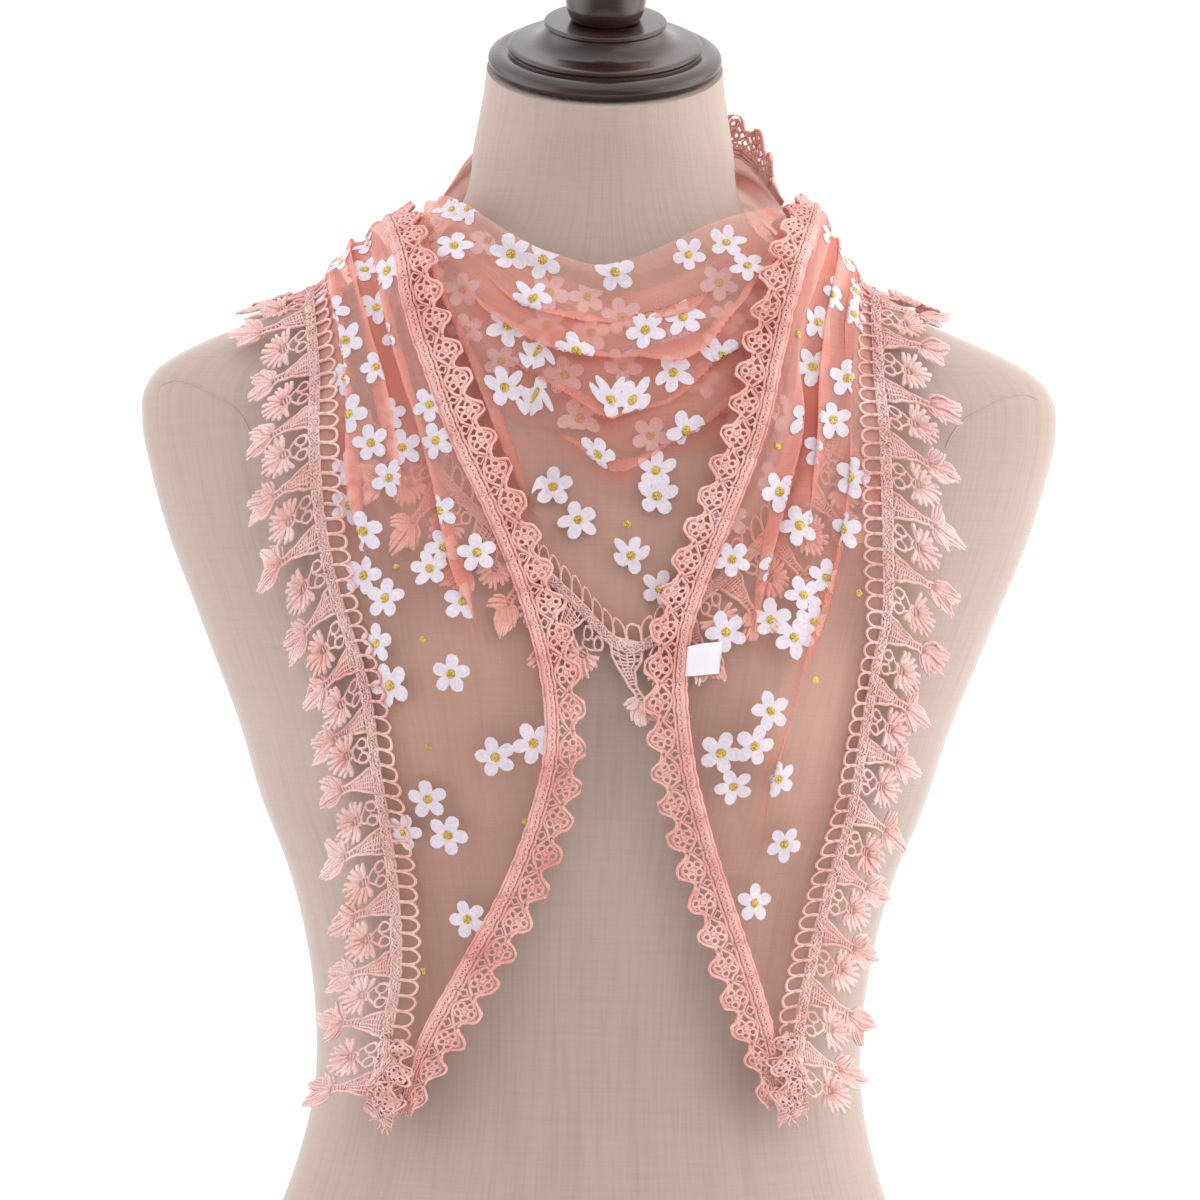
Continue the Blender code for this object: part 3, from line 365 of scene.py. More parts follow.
class Cloth:
    """A fine grid over a run of rows, with the zones of both laces beyond its edges."""

    def __init__(self, guide, rows, stretches, creases, seed, shoulder=0):
        self.rows = rows
        self.shoulder = shoulder * PLACES
        self.end = (len(rows) - 1) * PLACES
        self.at = np.linspace(0, len(rows) - 1, self.end + 1)
        index = range(len(rows))
        inner = smooth_curve(index, [point_at(r.side, r.inner_x, r.inner_z) for r in rows], self.at)
        outer = smooth_curve(index, [point_at(r.side, r.outer_x, r.outer_z) for r in rows], self.at)
        across = np.linspace(0, 1, COLUMNS + 1)
        cloth = inner[:, None] + (outer - inner)[:, None] * across[None, :, None]
        feet, normals = guide.feet(cloth)
        inside, inside_normals = guide.feet(
            self.zone(feet[:, 0], feet[:, 1], normals[:, 0], EDGING_OUT))
        outside, outside_normals = guide.feet(
            self.zone(feet[:, -1], feet[:, -2], normals[:, -1], FRINGE_OUT))
        self.feet = np.concatenate([inside, feet, outside], axis=1)
        self.normals = np.concatenate([inside_normals, normals, outside_normals], axis=1)
        self.first = len(EDGING_OUT)
        self.last = self.first + COLUMNS
        chord = np.linalg.norm(outer - inner, axis=-1)
        self.calm = np.clip((chord - 18) / 75, 0.12, 1.0)  # folds are lower where the cloth is narrow
        self.lift = self.base_lift(across, stretches)
        self.creases, self.seed = creases, seed

    @staticmethod
    def zone(edge, inside, normal, outs):
        along = unit(np.gradient(edge, axis=0))
        outward = unit(np.cross(along, normal))
        flip = np.sum(outward * (edge - inside), axis=-1, keepdims=True) < 0
        outward = unit(blur_rows(np.where(flip, -outward, outward), PLACES))
        return edge[:, None] + outward[:, None] * np.array(outs)[None, :, None]

    def base_lift(self, across, stretches):
        index = range(len(self.rows))
        inner = smooth_curve(index, [r.inner_lift for r in self.rows], self.at)
        outer = smooth_curve(index, [r.outer_lift for r in self.rows], self.at)
        lift = inner[:, None] + (outer - inner)[:, None] * across[None, :]
        for first, last, stretch_folds in stretches:
            along = (self.at[:, None] - first) / (last - first)
            lift = lift + fold_lift(stretch_folds, along, across[None, :]) * self.calm[:, None]
        edging = np.repeat(lift[:, :1], len(EDGING_OUT), axis=1)
        fringe = lift[:, -1:] + np.interp(FRINGE_OUT, *FRINGE_RISE)
        return np.concatenate([edging, lift, fringe], axis=1)

    def measure(self):
        """The width of each fine row, once nothing lifts the cloth any more."""
        self.place = self.feet + self.normals * self.lift[..., None]
        sheet = self.place[:, self.first:self.last + 1]
        self.width = np.sum(np.linalg.norm(np.diff(sheet, axis=1), axis=-1), axis=1)

    def raise_over(self, trees, start, end):
        """Lifts fine rows start to end clear of the trees, with a soft ramp at both ends."""
        need = np.zeros(self.lift.shape)
        for i in range(start, end):
            for j in range(need.shape[1]):
                foot, normal = Vector(self.feet[i, j]), Vector(self.normals[i, j])
                for tree, clearance in trees:
                    hit = tree.ray_cast(foot + normal * REACH, -normal, REACH)
                    if hit[0] is not None:
                        need[i, j] = max(need[i, j], REACH - hit[3] + clearance)
        height, width = need.shape
        for _ in range(GROWN_CELLS):
            padded = np.pad(need, 1, mode="edge")
            for di in range(3):
                for dj in range(3):
                    need = np.maximum(need, padded[di:di + height, dj:dj + width])
        short = np.maximum(need - self.lift, 0)
        extra = short
        for _ in range(SPREAD_PASSES):
            extra = np.maximum(soften(extra, 1), short)
        extra = soften(extra, SOFT_PASSES)
        self.lift = self.lift + extra * self.ramp(start, end, PLACES)[:, None]

    def ramp(self, start, end, reach):
        """1 between two fine rows, and down to 0 within reach beyond them."""
        rows = np.arange(self.lift.shape[0])
        return smooth_step((rows - start + reach) / reach) * smooth_step((end + reach - rows) / reach)

    def puff(self, start, end, height):
        """Lets the inner part of the cloth stand off in a soft swell between two fine rows."""
        along = self.ramp(start, end, 2 * PLACES)
        share = np.clip((np.arange(self.lift.shape[1]) - self.first) / COLUMNS, 0, 1)
        self.lift = self.lift + height * along[:, None] * smooth_step((0.75 - share) / 0.7)[None, :]

    def read(self, grid, row, column):
        """A grid's values between its points; row and column are fine indices."""
        row = np.clip(row, 0, grid.shape[0] - 1.0001)
        column = np.clip(column, 0, grid.shape[1] - 1.0001)
        i, j = row.astype(int), column.astype(int)
        u, v = (row - i)[..., None], (column - j)[..., None]
        low = grid[i, j] * (1 - v) + grid[i, j + 1] * v
        high = grid[i + 1, j] * (1 - v) + grid[i + 1, j + 1] * v
        return low * (1 - u) + high * u

    def creased(self, row, share, width):
        """Where the creases move places at table rows and shares of the width, how far they lift the
        cloth, and its painted crease shade: darker in each crease's pocket, where shade falls, and
        lighter along its rim as a painted highlight. turn and near are in the crease's own widths, and
        near is negative on the side that lies on top."""
        moved = share.copy()
        lift = np.zeros(share.shape)
        depth = np.zeros(share.shape)
        for k, crease in enumerate(self.creases):
            knots = [p[0] for p in crease.points]
            centre = np.interp(row, knots, [p[1] for p in crease.points])
            centre = blur_rows(centre[:, :1], PLACES // 2) + 0 * centre
            first, last = knots[0], knots[-1]
            strength = smooth_step((row - first) / crease.fade + 0.35)
            strength = strength * smooth_step((last - row) / crease.fade + 0.35)
            strength = strength * (1 - 0.22 * np.sin(row * 2.3 + 1.7 * k + self.seed))
            edge = np.minimum(centre, 1 - centre) * width
            strength = strength * smooth_step(edge / 13)
            calm = np.interp(row, self.at, self.calm)
            span = np.minimum(crease.width * (0.55 + 0.45 * strength), 0.075 * width + 0.6)
            turn = (share - centre) * width / span
            moved = moved - span / width * 3.0 * strength * turn * np.exp(-turn**2)
            near = turn * crease.side
            fall = np.exp(-(np.minimum(near, 0) / 3.2) ** 2)
            height = crease.height * (0.25 + 0.75 * calm)
            lift = lift + height * strength * 0.5 * (1 - np.tanh(1.7 * near)) * fall
            # The pocket term is painted shade just past a crease's middle, and rim is a painted
            # highlight along its upper edge.
            crease_shade = np.exp(-(np.maximum(near - 0.75, 0) / 1.5) ** 2) * smooth_step((near + 0.2) / 0.6)
            rim = np.exp(-((near + 0.62) / 0.3) ** 2)
            depth = depth + strength * (0.62 * crease_shade - 0.5 * rim)
        return moved, lift, depth

    def ripple(self, row, share, width):
        """Small uneven wrinkles that run along the cloth."""
        mm = share * width
        wave = np.sin(mm * 0.21 + 1.3 * np.sin(row * 0.9 + self.seed) + self.seed)
        wave = wave + 0.6 * np.sin(mm * 0.47 + 1.9 * np.sin(row * 0.63 + 2 * self.seed) + 2.0)
        wave = wave + 0.5 * np.sin(row * 2.1 + mm * 0.11 + 3 * self.seed)
        edge = smooth_step(np.minimum(share, 1 - share) * width / 14)
        return 0.45 * wave * edge

    def sheet(self, start, end, lip=False):
        """Points of one stretch, fine row by row, with its creases; a Sheet reads places on it."""
        rows = np.arange(start, end + 1)
        table_row = self.at[rows][:, None]
        width = self.width[rows][:, None]
        if lip:
            low, high = (blur_rows(np.interp(table_row, *zip(*side)), PLACES // 2)
                         for side in (LIP_START, LIP_END))
            share = low + (high - low) * np.linspace(0, 1, LIP_COLUMNS)[None, :]
            moved = share + 0 * table_row
            lift = 0.8 * self.ripple(table_row + 7, share, width)
            # The lip gets no painted crease shade.
            depth = 0 * moved
        else:
            share = np.linspace(0, 1, 3 * SHEET_COLUMNS)[None, :] + 0 * table_row
            moved, lift, _ = self.creased(table_row + 0 * share, share, width)
            share = even_shares(share, moved * width, lift, SHEET_COLUMNS)
            # depth is painted crease shade: darker in pockets, lighter along rims.
            moved, lift, depth = self.creased(table_row + 0 * share, share, width)
            lift = lift + self.ripple(table_row, share, width)
        column = self.first + np.clip(moved, 0, 1) * COLUMNS
        row = rows[:, None] + 0 * column
        feet = self.read(self.feet, row, column)
        normals = unit(self.read(self.normals, row, column))
        base = self.read(self.lift[..., None], row, column)
        if lip:
            base = 1.2 + (base - 1.2) * 0.35
        points = feet + normals * np.maximum(base + lift[..., None], LEAST_LIFT)
        return Sheet(self, rows, share, points, np.clip(depth, -0.5, 1.0))

    def zone_tree(self, start, end, side):
        """The lace zone beyond one edge, as a surface that other cloth is laid over."""
        columns = slice(0, self.first + 1) if side == "inner" else slice(self.last, None)
        top = (self.feet + self.normals * (self.lift + LACE_LIFT)[..., None])[start:end + 1, columns]
        return tree_of(top)


def even_shares(share, across, lift, count):
    """Shares that lie evenly along the creased cloth, row by row."""
    steps = np.hypot(np.diff(across, axis=1), np.diff(lift, axis=1))
    run = np.concatenate([np.zeros((len(steps), 1)), np.cumsum(steps, axis=1)], axis=1)
    places = np.linspace(0, 1, count)
    return np.array([np.interp(places * r[-1], r, s) for r, s in zip(run, share)])


def tree_of(grid):
    rows, columns = grid.shape[:2]
    return BVHTree.FromPolygons([tuple(p) for p in grid.reshape(-1, 3)], grid_faces(rows, columns))


class Sheet:
    """One creased stretch of cloth, as a grid of points."""

    def __init__(self, cloth, rows, share, points, depth):
        self.cloth, self.rows, self.share = cloth, rows, share
        # depth is the painted crease shade at each point.
        self.points, self.depth = points, depth
        normal = grid_normals(points)
        feet_normal = cloth.normals[rows, cloth.first + COLUMNS // 2][:, None]
        flip = np.mean(np.sum(normal * feet_normal, axis=-1)) < 0
        self.normal = -normal if flip else normal
        self.tree = tree_of(points)
        self.arc = distances(points)

    def place(self, row, column, above):
        """A point at fine indices of this sheet's own grid, above its outer side."""
        point = self.cloth.read(self.points, row, column)
        normal = unit(self.cloth.read(self.normal, row, column))
        return point + normal * above

    def spread(self, row, column, flat):
        """Own indices of places that lie at flat offsets from one place of the sheet."""
        last_row = self.points.shape[0] - 1
        columns = np.arange(self.points.shape[1])
        i = int(np.clip(round(row), 3, last_row - 3))
        j = int(np.clip(round(column), 6, len(columns) - 7))
        strip = self.points[:, j - 6:j + 7].mean(axis=1)
        along = (strip[i + 3] - strip[i - 3]) / 6
        across = unit((self.points[i - 2:i + 3, j + 6] - self.points[i - 2:i + 3, j - 6]).mean(axis=0))
        skew = float(np.dot(along, across))
        square = math.sqrt(max(float(np.dot(along, along)) - skew**2, 0.25))
        turns = flat[:, 0] / square
        rows = np.clip(row + turns, 0, last_row)
        found = np.empty(len(flat))
        for k, place in enumerate(rows):
            arc = self.arc[int(place)]
            here = np.interp(column, columns, arc)
            found[k] = np.interp(here + flat[k, 1] - turns[k] * skew, arc, columns)
        return rows, found


# ---------------------------------------------------------------- pieces and their materials

def add_piece(name, points, faces, mat, replaces=(), colors=None, uv=None):
    """A smooth mesh that rides on the root. colors goes to its tint attribute."""
    mesh = bpy.data.meshes.new(name)
    mesh.from_pydata(np.asarray(points, float) * MM, [], faces)
    mesh.update()
    mesh.shade_smooth()
    if uv is not None:
        layer = mesh.uv_layers.new(name="cut")
        loops = np.zeros(len(mesh.loops), int)
        mesh.loops.foreach_get("vertex_index", loops)
        layer.data.foreach_set("uv", np.asarray(uv, float)[loops].ravel())
    if colors is not None:
        attribute = mesh.attributes.new("tint", "FLOAT", "POINT")
        attribute.data.foreach_set("value", np.asarray(colors, float))
    mesh.materials.append(mat)
    made = bpy.data.objects.new(name, mesh)
    bpy.context.scene.collection.objects.link(made)
    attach(made, "root")
    if replaces:
        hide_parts(*replaces)
    return made


class Joined:
    """Meshes joined into one. values has a number for each point, or rows of such numbers."""

    def __init__(self):
        self.points, self.faces, self.values = [], [], []
        self.count = 0

    def add(self, points, faces, values=()):
        self.faces += [tuple(self.count + v for v in face) for face in faces]
        self.points.append(points)
        self.values.append(values)
        self.count += len(points)

    def flat(self):
        return np.concatenate(self.points), self.faces, np.concatenate(self.values, axis=-1)


def srgb(r, g, b):
    values = [v / 255 for v in (r, g, b)]
    return tuple(v / 12.92 if v <= 0.04045 else ((v + 0.055) / 1.055) ** 2.4 for v in values) + (1.0,)


def grey(value):
    return (value, value, value, 1.0)


class Nodes:
    """Short ways to add nodes to a node tree. An input is a number, a colour or another's output."""

    def __init__(self, tree):
        self.nodes = tree.nodes
        self.links = tree.links

    def link(self, source, target):
        self.links.new(source, target)

    def feed(self, *pairs):
        for socket, value in pairs:
            if isinstance(value, bpy.types.NodeSocket):
                self.link(value, socket)
            else:
                socket.default_value = value

    def node(self, kind, **values):
        made = self.nodes.new(kind)
        for name, value in values.items():
            if name in made.inputs:
                self.feed((made.inputs[name], value))
            else:
                setattr(made, name, value)
        return made

    def math(self, operation, first, second=0.0):
        made = self.node("ShaderNodeMath", operation=operation)
        self.feed((made.inputs[0], first), (made.inputs[1], second))
        return made.outputs[0]

    def spread(self, value, low, high, first, last, kind="LINEAR"):
        """Maps a value from low and high to first and last."""
        limits = {"From Min": low, "From Max": high, "To Min": first, "To Max": last}
        made = self.node("ShaderNodeMapRange", interpolation_type=kind, Value=value, **limits)
        return made.outputs["Result"]

    def ramp(self, value, stops):
        made = self.node("ShaderNodeValToRGB", Fac=value)
        while len(made.color_ramp.elements) < len(stops):
            made.color_ramp.elements.new(0.5)
        for element, (position, color) in zip(made.color_ramp.elements, stops):
            element.position = position
            element.color = color
        return made.outputs["Color"]


class Shader(Nodes):
    """A Principled material."""

    def __init__(self, name, color, roughness, **settings):
        self.material = bpy.data.materials.new(name)
        self.material.use_nodes = True
        super().__init__(self.material.node_tree)
        self.main = self.nodes["Principled BSDF"]
        self.set(Base_Color=color, Roughness=roughness, **settings)

    def set(self, **settings):
        """Sets or links the shader's sockets; an underscore stands for a space."""
        for name, value in settings.items():
            self.feed((self.main.inputs[name.replace("_", " ")], value))

    def place(self, scale=(1, 1, 1), kind="Object"):
        coordinates = self.node("ShaderNodeTexCoord").outputs[kind]
        return self.node("ShaderNodeMapping", Scale=scale, Vector=coordinates).outputs["Vector"]

    def noise(self, vector, scale=1.0, detail=3.0, roughness=0.55):
        made = self.node("ShaderNodeTexNoise", Vector=vector, Scale=scale, Detail=detail,
                         Roughness=roughness)
        return made.outputs["Fac"]

    def attribute(self, name):
        return self.node("ShaderNodeAttribute", attribute_name=name).outputs["Fac"]

    def mix(self, factor, first, second, blend="MIX"):
        made = self.node("ShaderNodeMix", data_type="RGBA", blend_type=blend)
        self.feed((made.inputs[0], factor), (made.inputs[6], first), (made.inputs[7], second))
        return made.outputs[2]

    def bump(self, height, strength, distance):
        made = self.node("ShaderNodeBump", Strength=strength, Distance=distance, Height=height)
        self.set(Normal=made.outputs["Normal"])


def linen_material(name):
    """Greige linen: fine crossed threads with slubs, warp stronger than weft."""
    shader = Shader(name, srgb(187, 168, 159), 0.88, Sheen_Weight=0.75, Sheen_Roughness=0.3,
                    Specular_IOR_Level=0.25)
    warp = shader.noise(shader.place((900, 26, 1), "UV"), detail=4.0)
    weft = shader.noise(shader.place((30, 800, 1), "UV"), detail=4.0)
    slub = shader.noise(shader.place((210, 9, 1), "UV"), detail=2.0)
    patch = shader.noise(shader.place((6, 6, 6)), detail=2.0)
    warp_tone = shader.ramp(warp, ((0.30, grey(0.93)), (0.52, grey(1.0)), (0.75, grey(1.02))))
    weft_tone = shader.ramp(weft, ((0.30, grey(0.96)), (0.52, grey(1.0)), (0.75, grey(1.015))))
    slub_tone = shader.ramp(slub, ((0.36, grey(0.955)), (0.46, grey(1.0)), (0.7, grey(1.01))))
    base = shader.ramp(patch, ((0.3, srgb(180, 161, 152)), (0.7, srgb(186, 167, 158))))
    tone = shader.mix(1.0, warp_tone, weft_tone, "MULTIPLY")
    tone = shader.mix(1.0, tone, slub_tone, "MULTIPLY")
    shader.set(Base_Color=shader.mix(1.0, base, tone, "MULTIPLY"))
    shader.bump(shader.math("ADD", warp, weft), 0.35, 0.0004)
    return shader.material


def voile_material():
    """Sheer voile: open fine weave that lets most of the light through, denser where folds gather.

    The mesh's tint is painted crease shade: darker and denser in each crease's pocket, where shade
    falls, and denser along its rim as a painted highlight. Its gather says how many layers lie there."""
    shader = Shader("voile_weave", srgb(250, 168, 152), 0.62, Sheen_Weight=0.15, Sheen_Roughness=0.35,
                    Sheen_Tint=srgb(255, 200, 186), Specular_IOR_Level=0.08)
    warp = shader.noise(shader.place((1500, 60, 1), "UV"), detail=2.0)
    weft = shader.noise(shader.place((60, 1500, 1), "UV"), detail=2.0)
    cloud = shader.noise(shader.place((14, 14, 14)), detail=2.0)
    pleat = shader.noise(shader.place((7, 120, 1), "UV"), detail=1.5)
    weave = shader.math("ADD", warp, weft)
    # tint is painted crease shade: positive in pockets, where shade falls, and negative along rims, as
    # a painted highlight.
    crease_shade = shader.attribute("tint")
    deep = shader.node("ShaderNodeClamp", Value=crease_shade).outputs["Result"]
    color = shader.ramp(cloud, ((0.3, srgb(252, 188, 175)), (0.7, srgb(255, 202, 190))))
    # Painted shade: crease pockets turn towards this darker salmon.
    shader.set(Base_Color=shader.mix(deep, color, srgb(217, 126, 111)))
    threads = shader.spread(weave, 0.7, 1.3, 0.09, 0.16)
    # Pockets and rims also grow denser. This is partly for the extra layers a crease holds and partly
    # painted shade and highlight.
    crease_shade_density = shader.math("MULTIPLY", shader.math("ABSOLUTE", crease_shade), 0.30)
    layered = shader.math("MULTIPLY", shader.attribute("gather"),
                          shader.spread(pleat, 0.34, 0.66, 0.14, 0.30))
    dense = shader.math("ADD", shader.math("ADD", threads, crease_shade_density), layered)
    tinted = shader.ramp(dense, ((0.12, (0.978, 0.888, 0.842, 1.0)), (0.65, (0.96, 0.74, 0.67, 1.0))))
    clear = shader.node("ShaderNodeBsdfTransparent", Color=tinted).outputs["BSDF"]
    sheer = shader.node("ShaderNodeMixShader", Fac=dense)
    shader.feed((sheer.inputs[1], clear), (sheer.inputs[2], shader.main.outputs["BSDF"]))
    shader.link(sheer.outputs["Shader"], shader.nodes["Material Output"].inputs["Surface"])
    shader.bump(weave, 0.25, 0.0002)
    return shader.material


def lace_material(name, low, high, tip):
    """Twisted yarn: uneven tone, fine strand bump and a soft lustre."""
    shader = Shader(name, low, 0.6, Sheen_Weight=0.4, Sheen_Roughness=0.4,
                    Sheen_Tint=srgb(255, 230, 225), Specular_IOR_Level=0.35)
    fine = shader.noise(shader.place(), 1300.0, 3.0, 0.65)
    wide = shader.noise(shader.place(), 45.0, 2.0)
    tone = shader.math("MULTIPLY", shader.math("ADD", fine, wide), 0.5)
    color = shader.ramp(tone, ((0.36, low), (0.60, high)))
    shader.set(Base_Color=shader.mix(shader.attribute("tint"), color, tip))
    shader.bump(fine, 0.9, 0.0006)
    return shader.material


def grained(shader, scale, detail, stops, bump=None, place=(1, 1, 1)):
    """Colours a shader by one noise, which also raises its surface."""
    grain = shader.noise(shader.place(place), scale, detail)
    shader.set(Base_Color=shader.ramp(grain, stops))
    if bump:
        shader.bump(grain, *bump)
    return grain


def petal_material():
    shader = Shader("petal_flock", srgb(236, 230, 239), 0.75, Sheen_Weight=0.2)
    grained(shader, 700.0, 3.0, ((0.3, srgb(209, 198, 210)), (0.7, srgb(229, 219, 227))), (0.3, 0.0002))
    return shader.material


def gold_material():
    shader = Shader("gold_centre", srgb(190, 158, 62), 0.45, Metallic=0.25)
    stops = ((0.35, srgb(150, 112, 40)), (0.5, srgb(192, 160, 62)), (0.68, srgb(236, 214, 120)))
    grained(shader, 1600.0, 2.0, stops, (0.6, 0.0003))
    return shader.material


def wood_material():
    """Dark stained and lacquered turned wood."""
    shader = Shader("lacquered_wood", srgb(42, 28, 26), 0.22, Coat_Weight=0.36, Coat_Roughness=0.12,
                    Specular_IOR_Level=0.4)
    stops = ((0.3, srgb(26, 17, 17)), (0.55, srgb(52, 33, 30)), (0.8, srgb(82, 52, 44)))
    grain = grained(shader, 1.0, 5.0, stops, (0.08, 0.0004), (30, 4, 260))
    shader.set(Roughness=shader.ramp(grain, ((0.3, grey(0.2)), (0.8, grey(0.34)))))
    return shader.material


def label_material():
    shader = Shader("label_ribbon", srgb(246, 244, 246), 0.6)
    weave = shader.node("ShaderNodeTexWave", Vector=shader.place((0, 900, 0), "UV"), Scale=1.0,
                        Distortion=0.2).outputs["Fac"]
    shader.set(Base_Color=shader.ramp(weave, ((0.0, srgb(236, 233, 238)), (1.0, srgb(250, 249, 251)))))
    shader.bump(weave, 0.2, 0.0002)
    return shader.material


def floor_material():
    shader = Shader("pale_floor", srgb(223, 222, 221), 0.7)
    grained(shader, 3.0, 2.0, ((0.3, srgb(220, 219, 218)), (0.7, srgb(226, 225, 224))))
    return shader.material


# ---------------------------------------------------------------- threads of a lace

# Radii of the usual yarns, and of a strand of a leaf and of a fan from its root to its end. A leaf
# strand's are shares of its room.
FINE = 0.42
NET = 0.46
CORD = 0.62
LEAF_STRAND = (0.5, 0.7, 0.86, 0.9, 0.84, 0.55)
FAN_STRAND = (0.7, 1.05, 1.22, 1.2, 0.85)
FAN_STRANDS = 23
# Half the long motif's width at places out from the edge.
STALK = ((3.7, 7, 10, 13, 16, 19, 22.5), (5.5, 4.7, 3.4, 2.3, 1.5, 1.2, 1.8))
# The leaves of a tassel: turn, length, width and number of strands.
THREE_LEAVES = ((0.0, 12.6, 8.2, 8), (-0.9, 9.0, 5.6, 6), (0.9, 9.0, 5.6, 6))
CROSSED_LEAVES = ((-0.3, 12.2, 7.6, 7), (0.55, 11.2, 7.0, 7), (1.25, 7.4, 4.6, 5))
# The cords along the edging: how far out each lies, its radius and its height.
EDGING_CORDS = ((-0.6, 0.75, -0.45), (0.9, 0.85, 0.25), (2.7, 0.75, 0.15), (4.4, 0.5, 0.0))
EDGING_THICKNESS = 1.14


class Threads(Joined):
    """Swept threads of a flat lace. Points are along the edge, out from it, and above it. The values'
    rows are the points' tints, and how far along the edge a point's own thread starts."""

    def __init__(self, thickness=1.0):
        super().__init__()
        self.thickness = thickness

    def thread(self, path, radius, sides=4, closed=False, flat=1.0, tints=0.0):
        path = np.asarray(path, float)
        if path.shape[1] == 2:
            path = np.concatenate([path, np.zeros((len(path), 1))], axis=1)
        radius = np.broadcast_to(self.thickness * np.asarray(radius, float), (len(path),))
        if closed:
            tangent = np.roll(path, -1, axis=0) - np.roll(path, 1, axis=0)
        else:
            tangent = np.gradient(path, axis=0)
        tangent = unit(tangent)
        side = unit(np.cross((0.0, 0.0, 1.0), tangent))
        up = np.cross(tangent, side)
        angle = 2 * np.pi * (np.arange(sides) + 0.5) / sides
        ring = path[:, None] + radius[:, None, None] * (
            np.cos(angle)[None, :, None] * side[:, None]
            + flat * np.sin(angle)[None, :, None] * up[:, None])
        count = len(path)
        if closed:
            faces = grid_faces(count + 1, sides, closed=True)
            faces = [tuple(v % (count * sides) for v in face) for face in faces]
        else:
            faces = grid_faces(count, sides, closed=True)
            faces += [range(sides - 1, -1, -1), range((count - 1) * sides, count * sides)]
        tints = np.repeat(np.broadcast_to(tints, (count,)), sides)
        self.add(ring.reshape(-1, 3), faces, np.stack([tints, np.full(count * sides, path[0, 0])]))

    def line(self, along, out, above, radius, sides=4, tint=0.0, flat=1.0):
        """A thread through places along the edge, with one number or a list for out and above."""
        self.thread(np.stack([along, out + 0 * along, above + 0 * along], axis=1), radius, sides,
                    flat=flat, tints=tint)

    def ring(self, centre, size, count, radius, sides=4, stretch=1.0, turn=0.0):
        """A closed thread of count points round a centre."""
        angle = 2 * np.pi * np.arange(count) / count + turn
        path = np.stack([centre[0] + size * stretch * np.cos(angle), centre[1] + size * np.sin(angle)])
        self.thread(path.T, radius, sides, closed=True)


def curve(points, count):
    """A smooth run of count points through the given ones."""
    points = np.asarray(points, float)
    return smooth_curve(range(len(points)), points, np.linspace(0, len(points) - 1, count))


def fringe_repeat(rng):
    """One repeat: arched loops on shared legs, the knit header, the long motif and the short motif."""
    t = Threads()
    p = LOOP_PITCH
    half = p / 2
    for k in range(LOOPS_PER_REPEAT):
        c = (k + 0.5) * p + 0.15 * rng.standard_normal()
        crown = -7.9 - 0.4 * rng.random()
        t.thread(curve(((c - half, -2.7), (c - half + 0.25, -4.8), (c - 2.2, -7.0), (c, crown),
                        (c + 2.2, -7.0), (c + half - 0.25, -4.8), (c + half, -2.7)), 13), CORD, 5)
        t.thread([(k * p, 1.2), (k * p + 0.1, -1.2), (k * p, -3.5)], (0.66, 0.8, 0.72), 5)
    t.line(np.linspace(0, REPEAT, 3), 2.0, -0.1, 2.3, flat=0.16)
    for out in HEADER_RAILS:
        xs = np.linspace(0, REPEAT, 9)
        t.line(xs, out + 0.14 * np.sin(xs * 1.3 + out), 0.1, 0.56, tint=0.1)
    for low, high in zip(HEADER_RAILS, HEADER_RAILS[1:]):
        xs = np.linspace(0, REPEAT, HEADER_TURNS)
        outs = np.where(np.arange(HEADER_TURNS) % 2 == 0, low, high)
        outs[1:-1] += 0.2 * rng.standard_normal(HEADER_TURNS - 2)
        xs[1:-1] += 0.22 * rng.standard_normal(HEADER_TURNS - 2)
        above = 0.42 + 0.3 * rng.standard_normal(HEADER_TURNS)
        above[[0, -1]] = 0.42
        t.line(xs, outs, above, 0.5, tint=0.25)
    add_long_motif(t, LONG_MOTIF, rng)
    add_short_motif(t, SHORT_MOTIF, rng)
    return t.flat()


def end_tints(tint, share):
    """Tints of a strand that grow from none at 0.3 of its length to the whole at its end."""
    return tint * np.clip(share - 0.3, 0, 1) / 0.7


def add_leaf(t, base, angle, length, width, count, rise, rng, tint):
    """Side by side strands: narrow at the leaf's base, widest past its middle, frilled at its end."""
    share = np.linspace(0, 1, len(LEAF_STRAND))
    bulge = np.sin(np.pi * (0.12 + 0.60 * share))
    away = np.array([math.sin(angle), math.cos(angle)])
    side = np.array([math.cos(angle), -math.sin(angle)])
    bend = 0.12 * rng.standard_normal()
    for k in range(count):
        place = k / (count - 1) * 2 - 1
        reach = length * (1 - 0.3 * place * place) + 0.4 * rng.standard_normal()
        across = (place * width / 2 * bulge + bend * length * share**2
                  + 0.25 * rng.standard_normal() * share)
        path = np.array(base[:2]) + away * (reach * share)[:, None] + side * across[:, None]
        above = (base[2] + rise * share**1.5 + 0.5 * (1 - place * place) * bulge
                 + 0.2 * rng.standard_normal())
        radius = np.maximum((width / count) * np.array(LEAF_STRAND), 0.3)
        t.thread(np.concatenate([path, above[:, None]], axis=1), radius, flat=0.75,
                 tints=end_tints(tint, share))


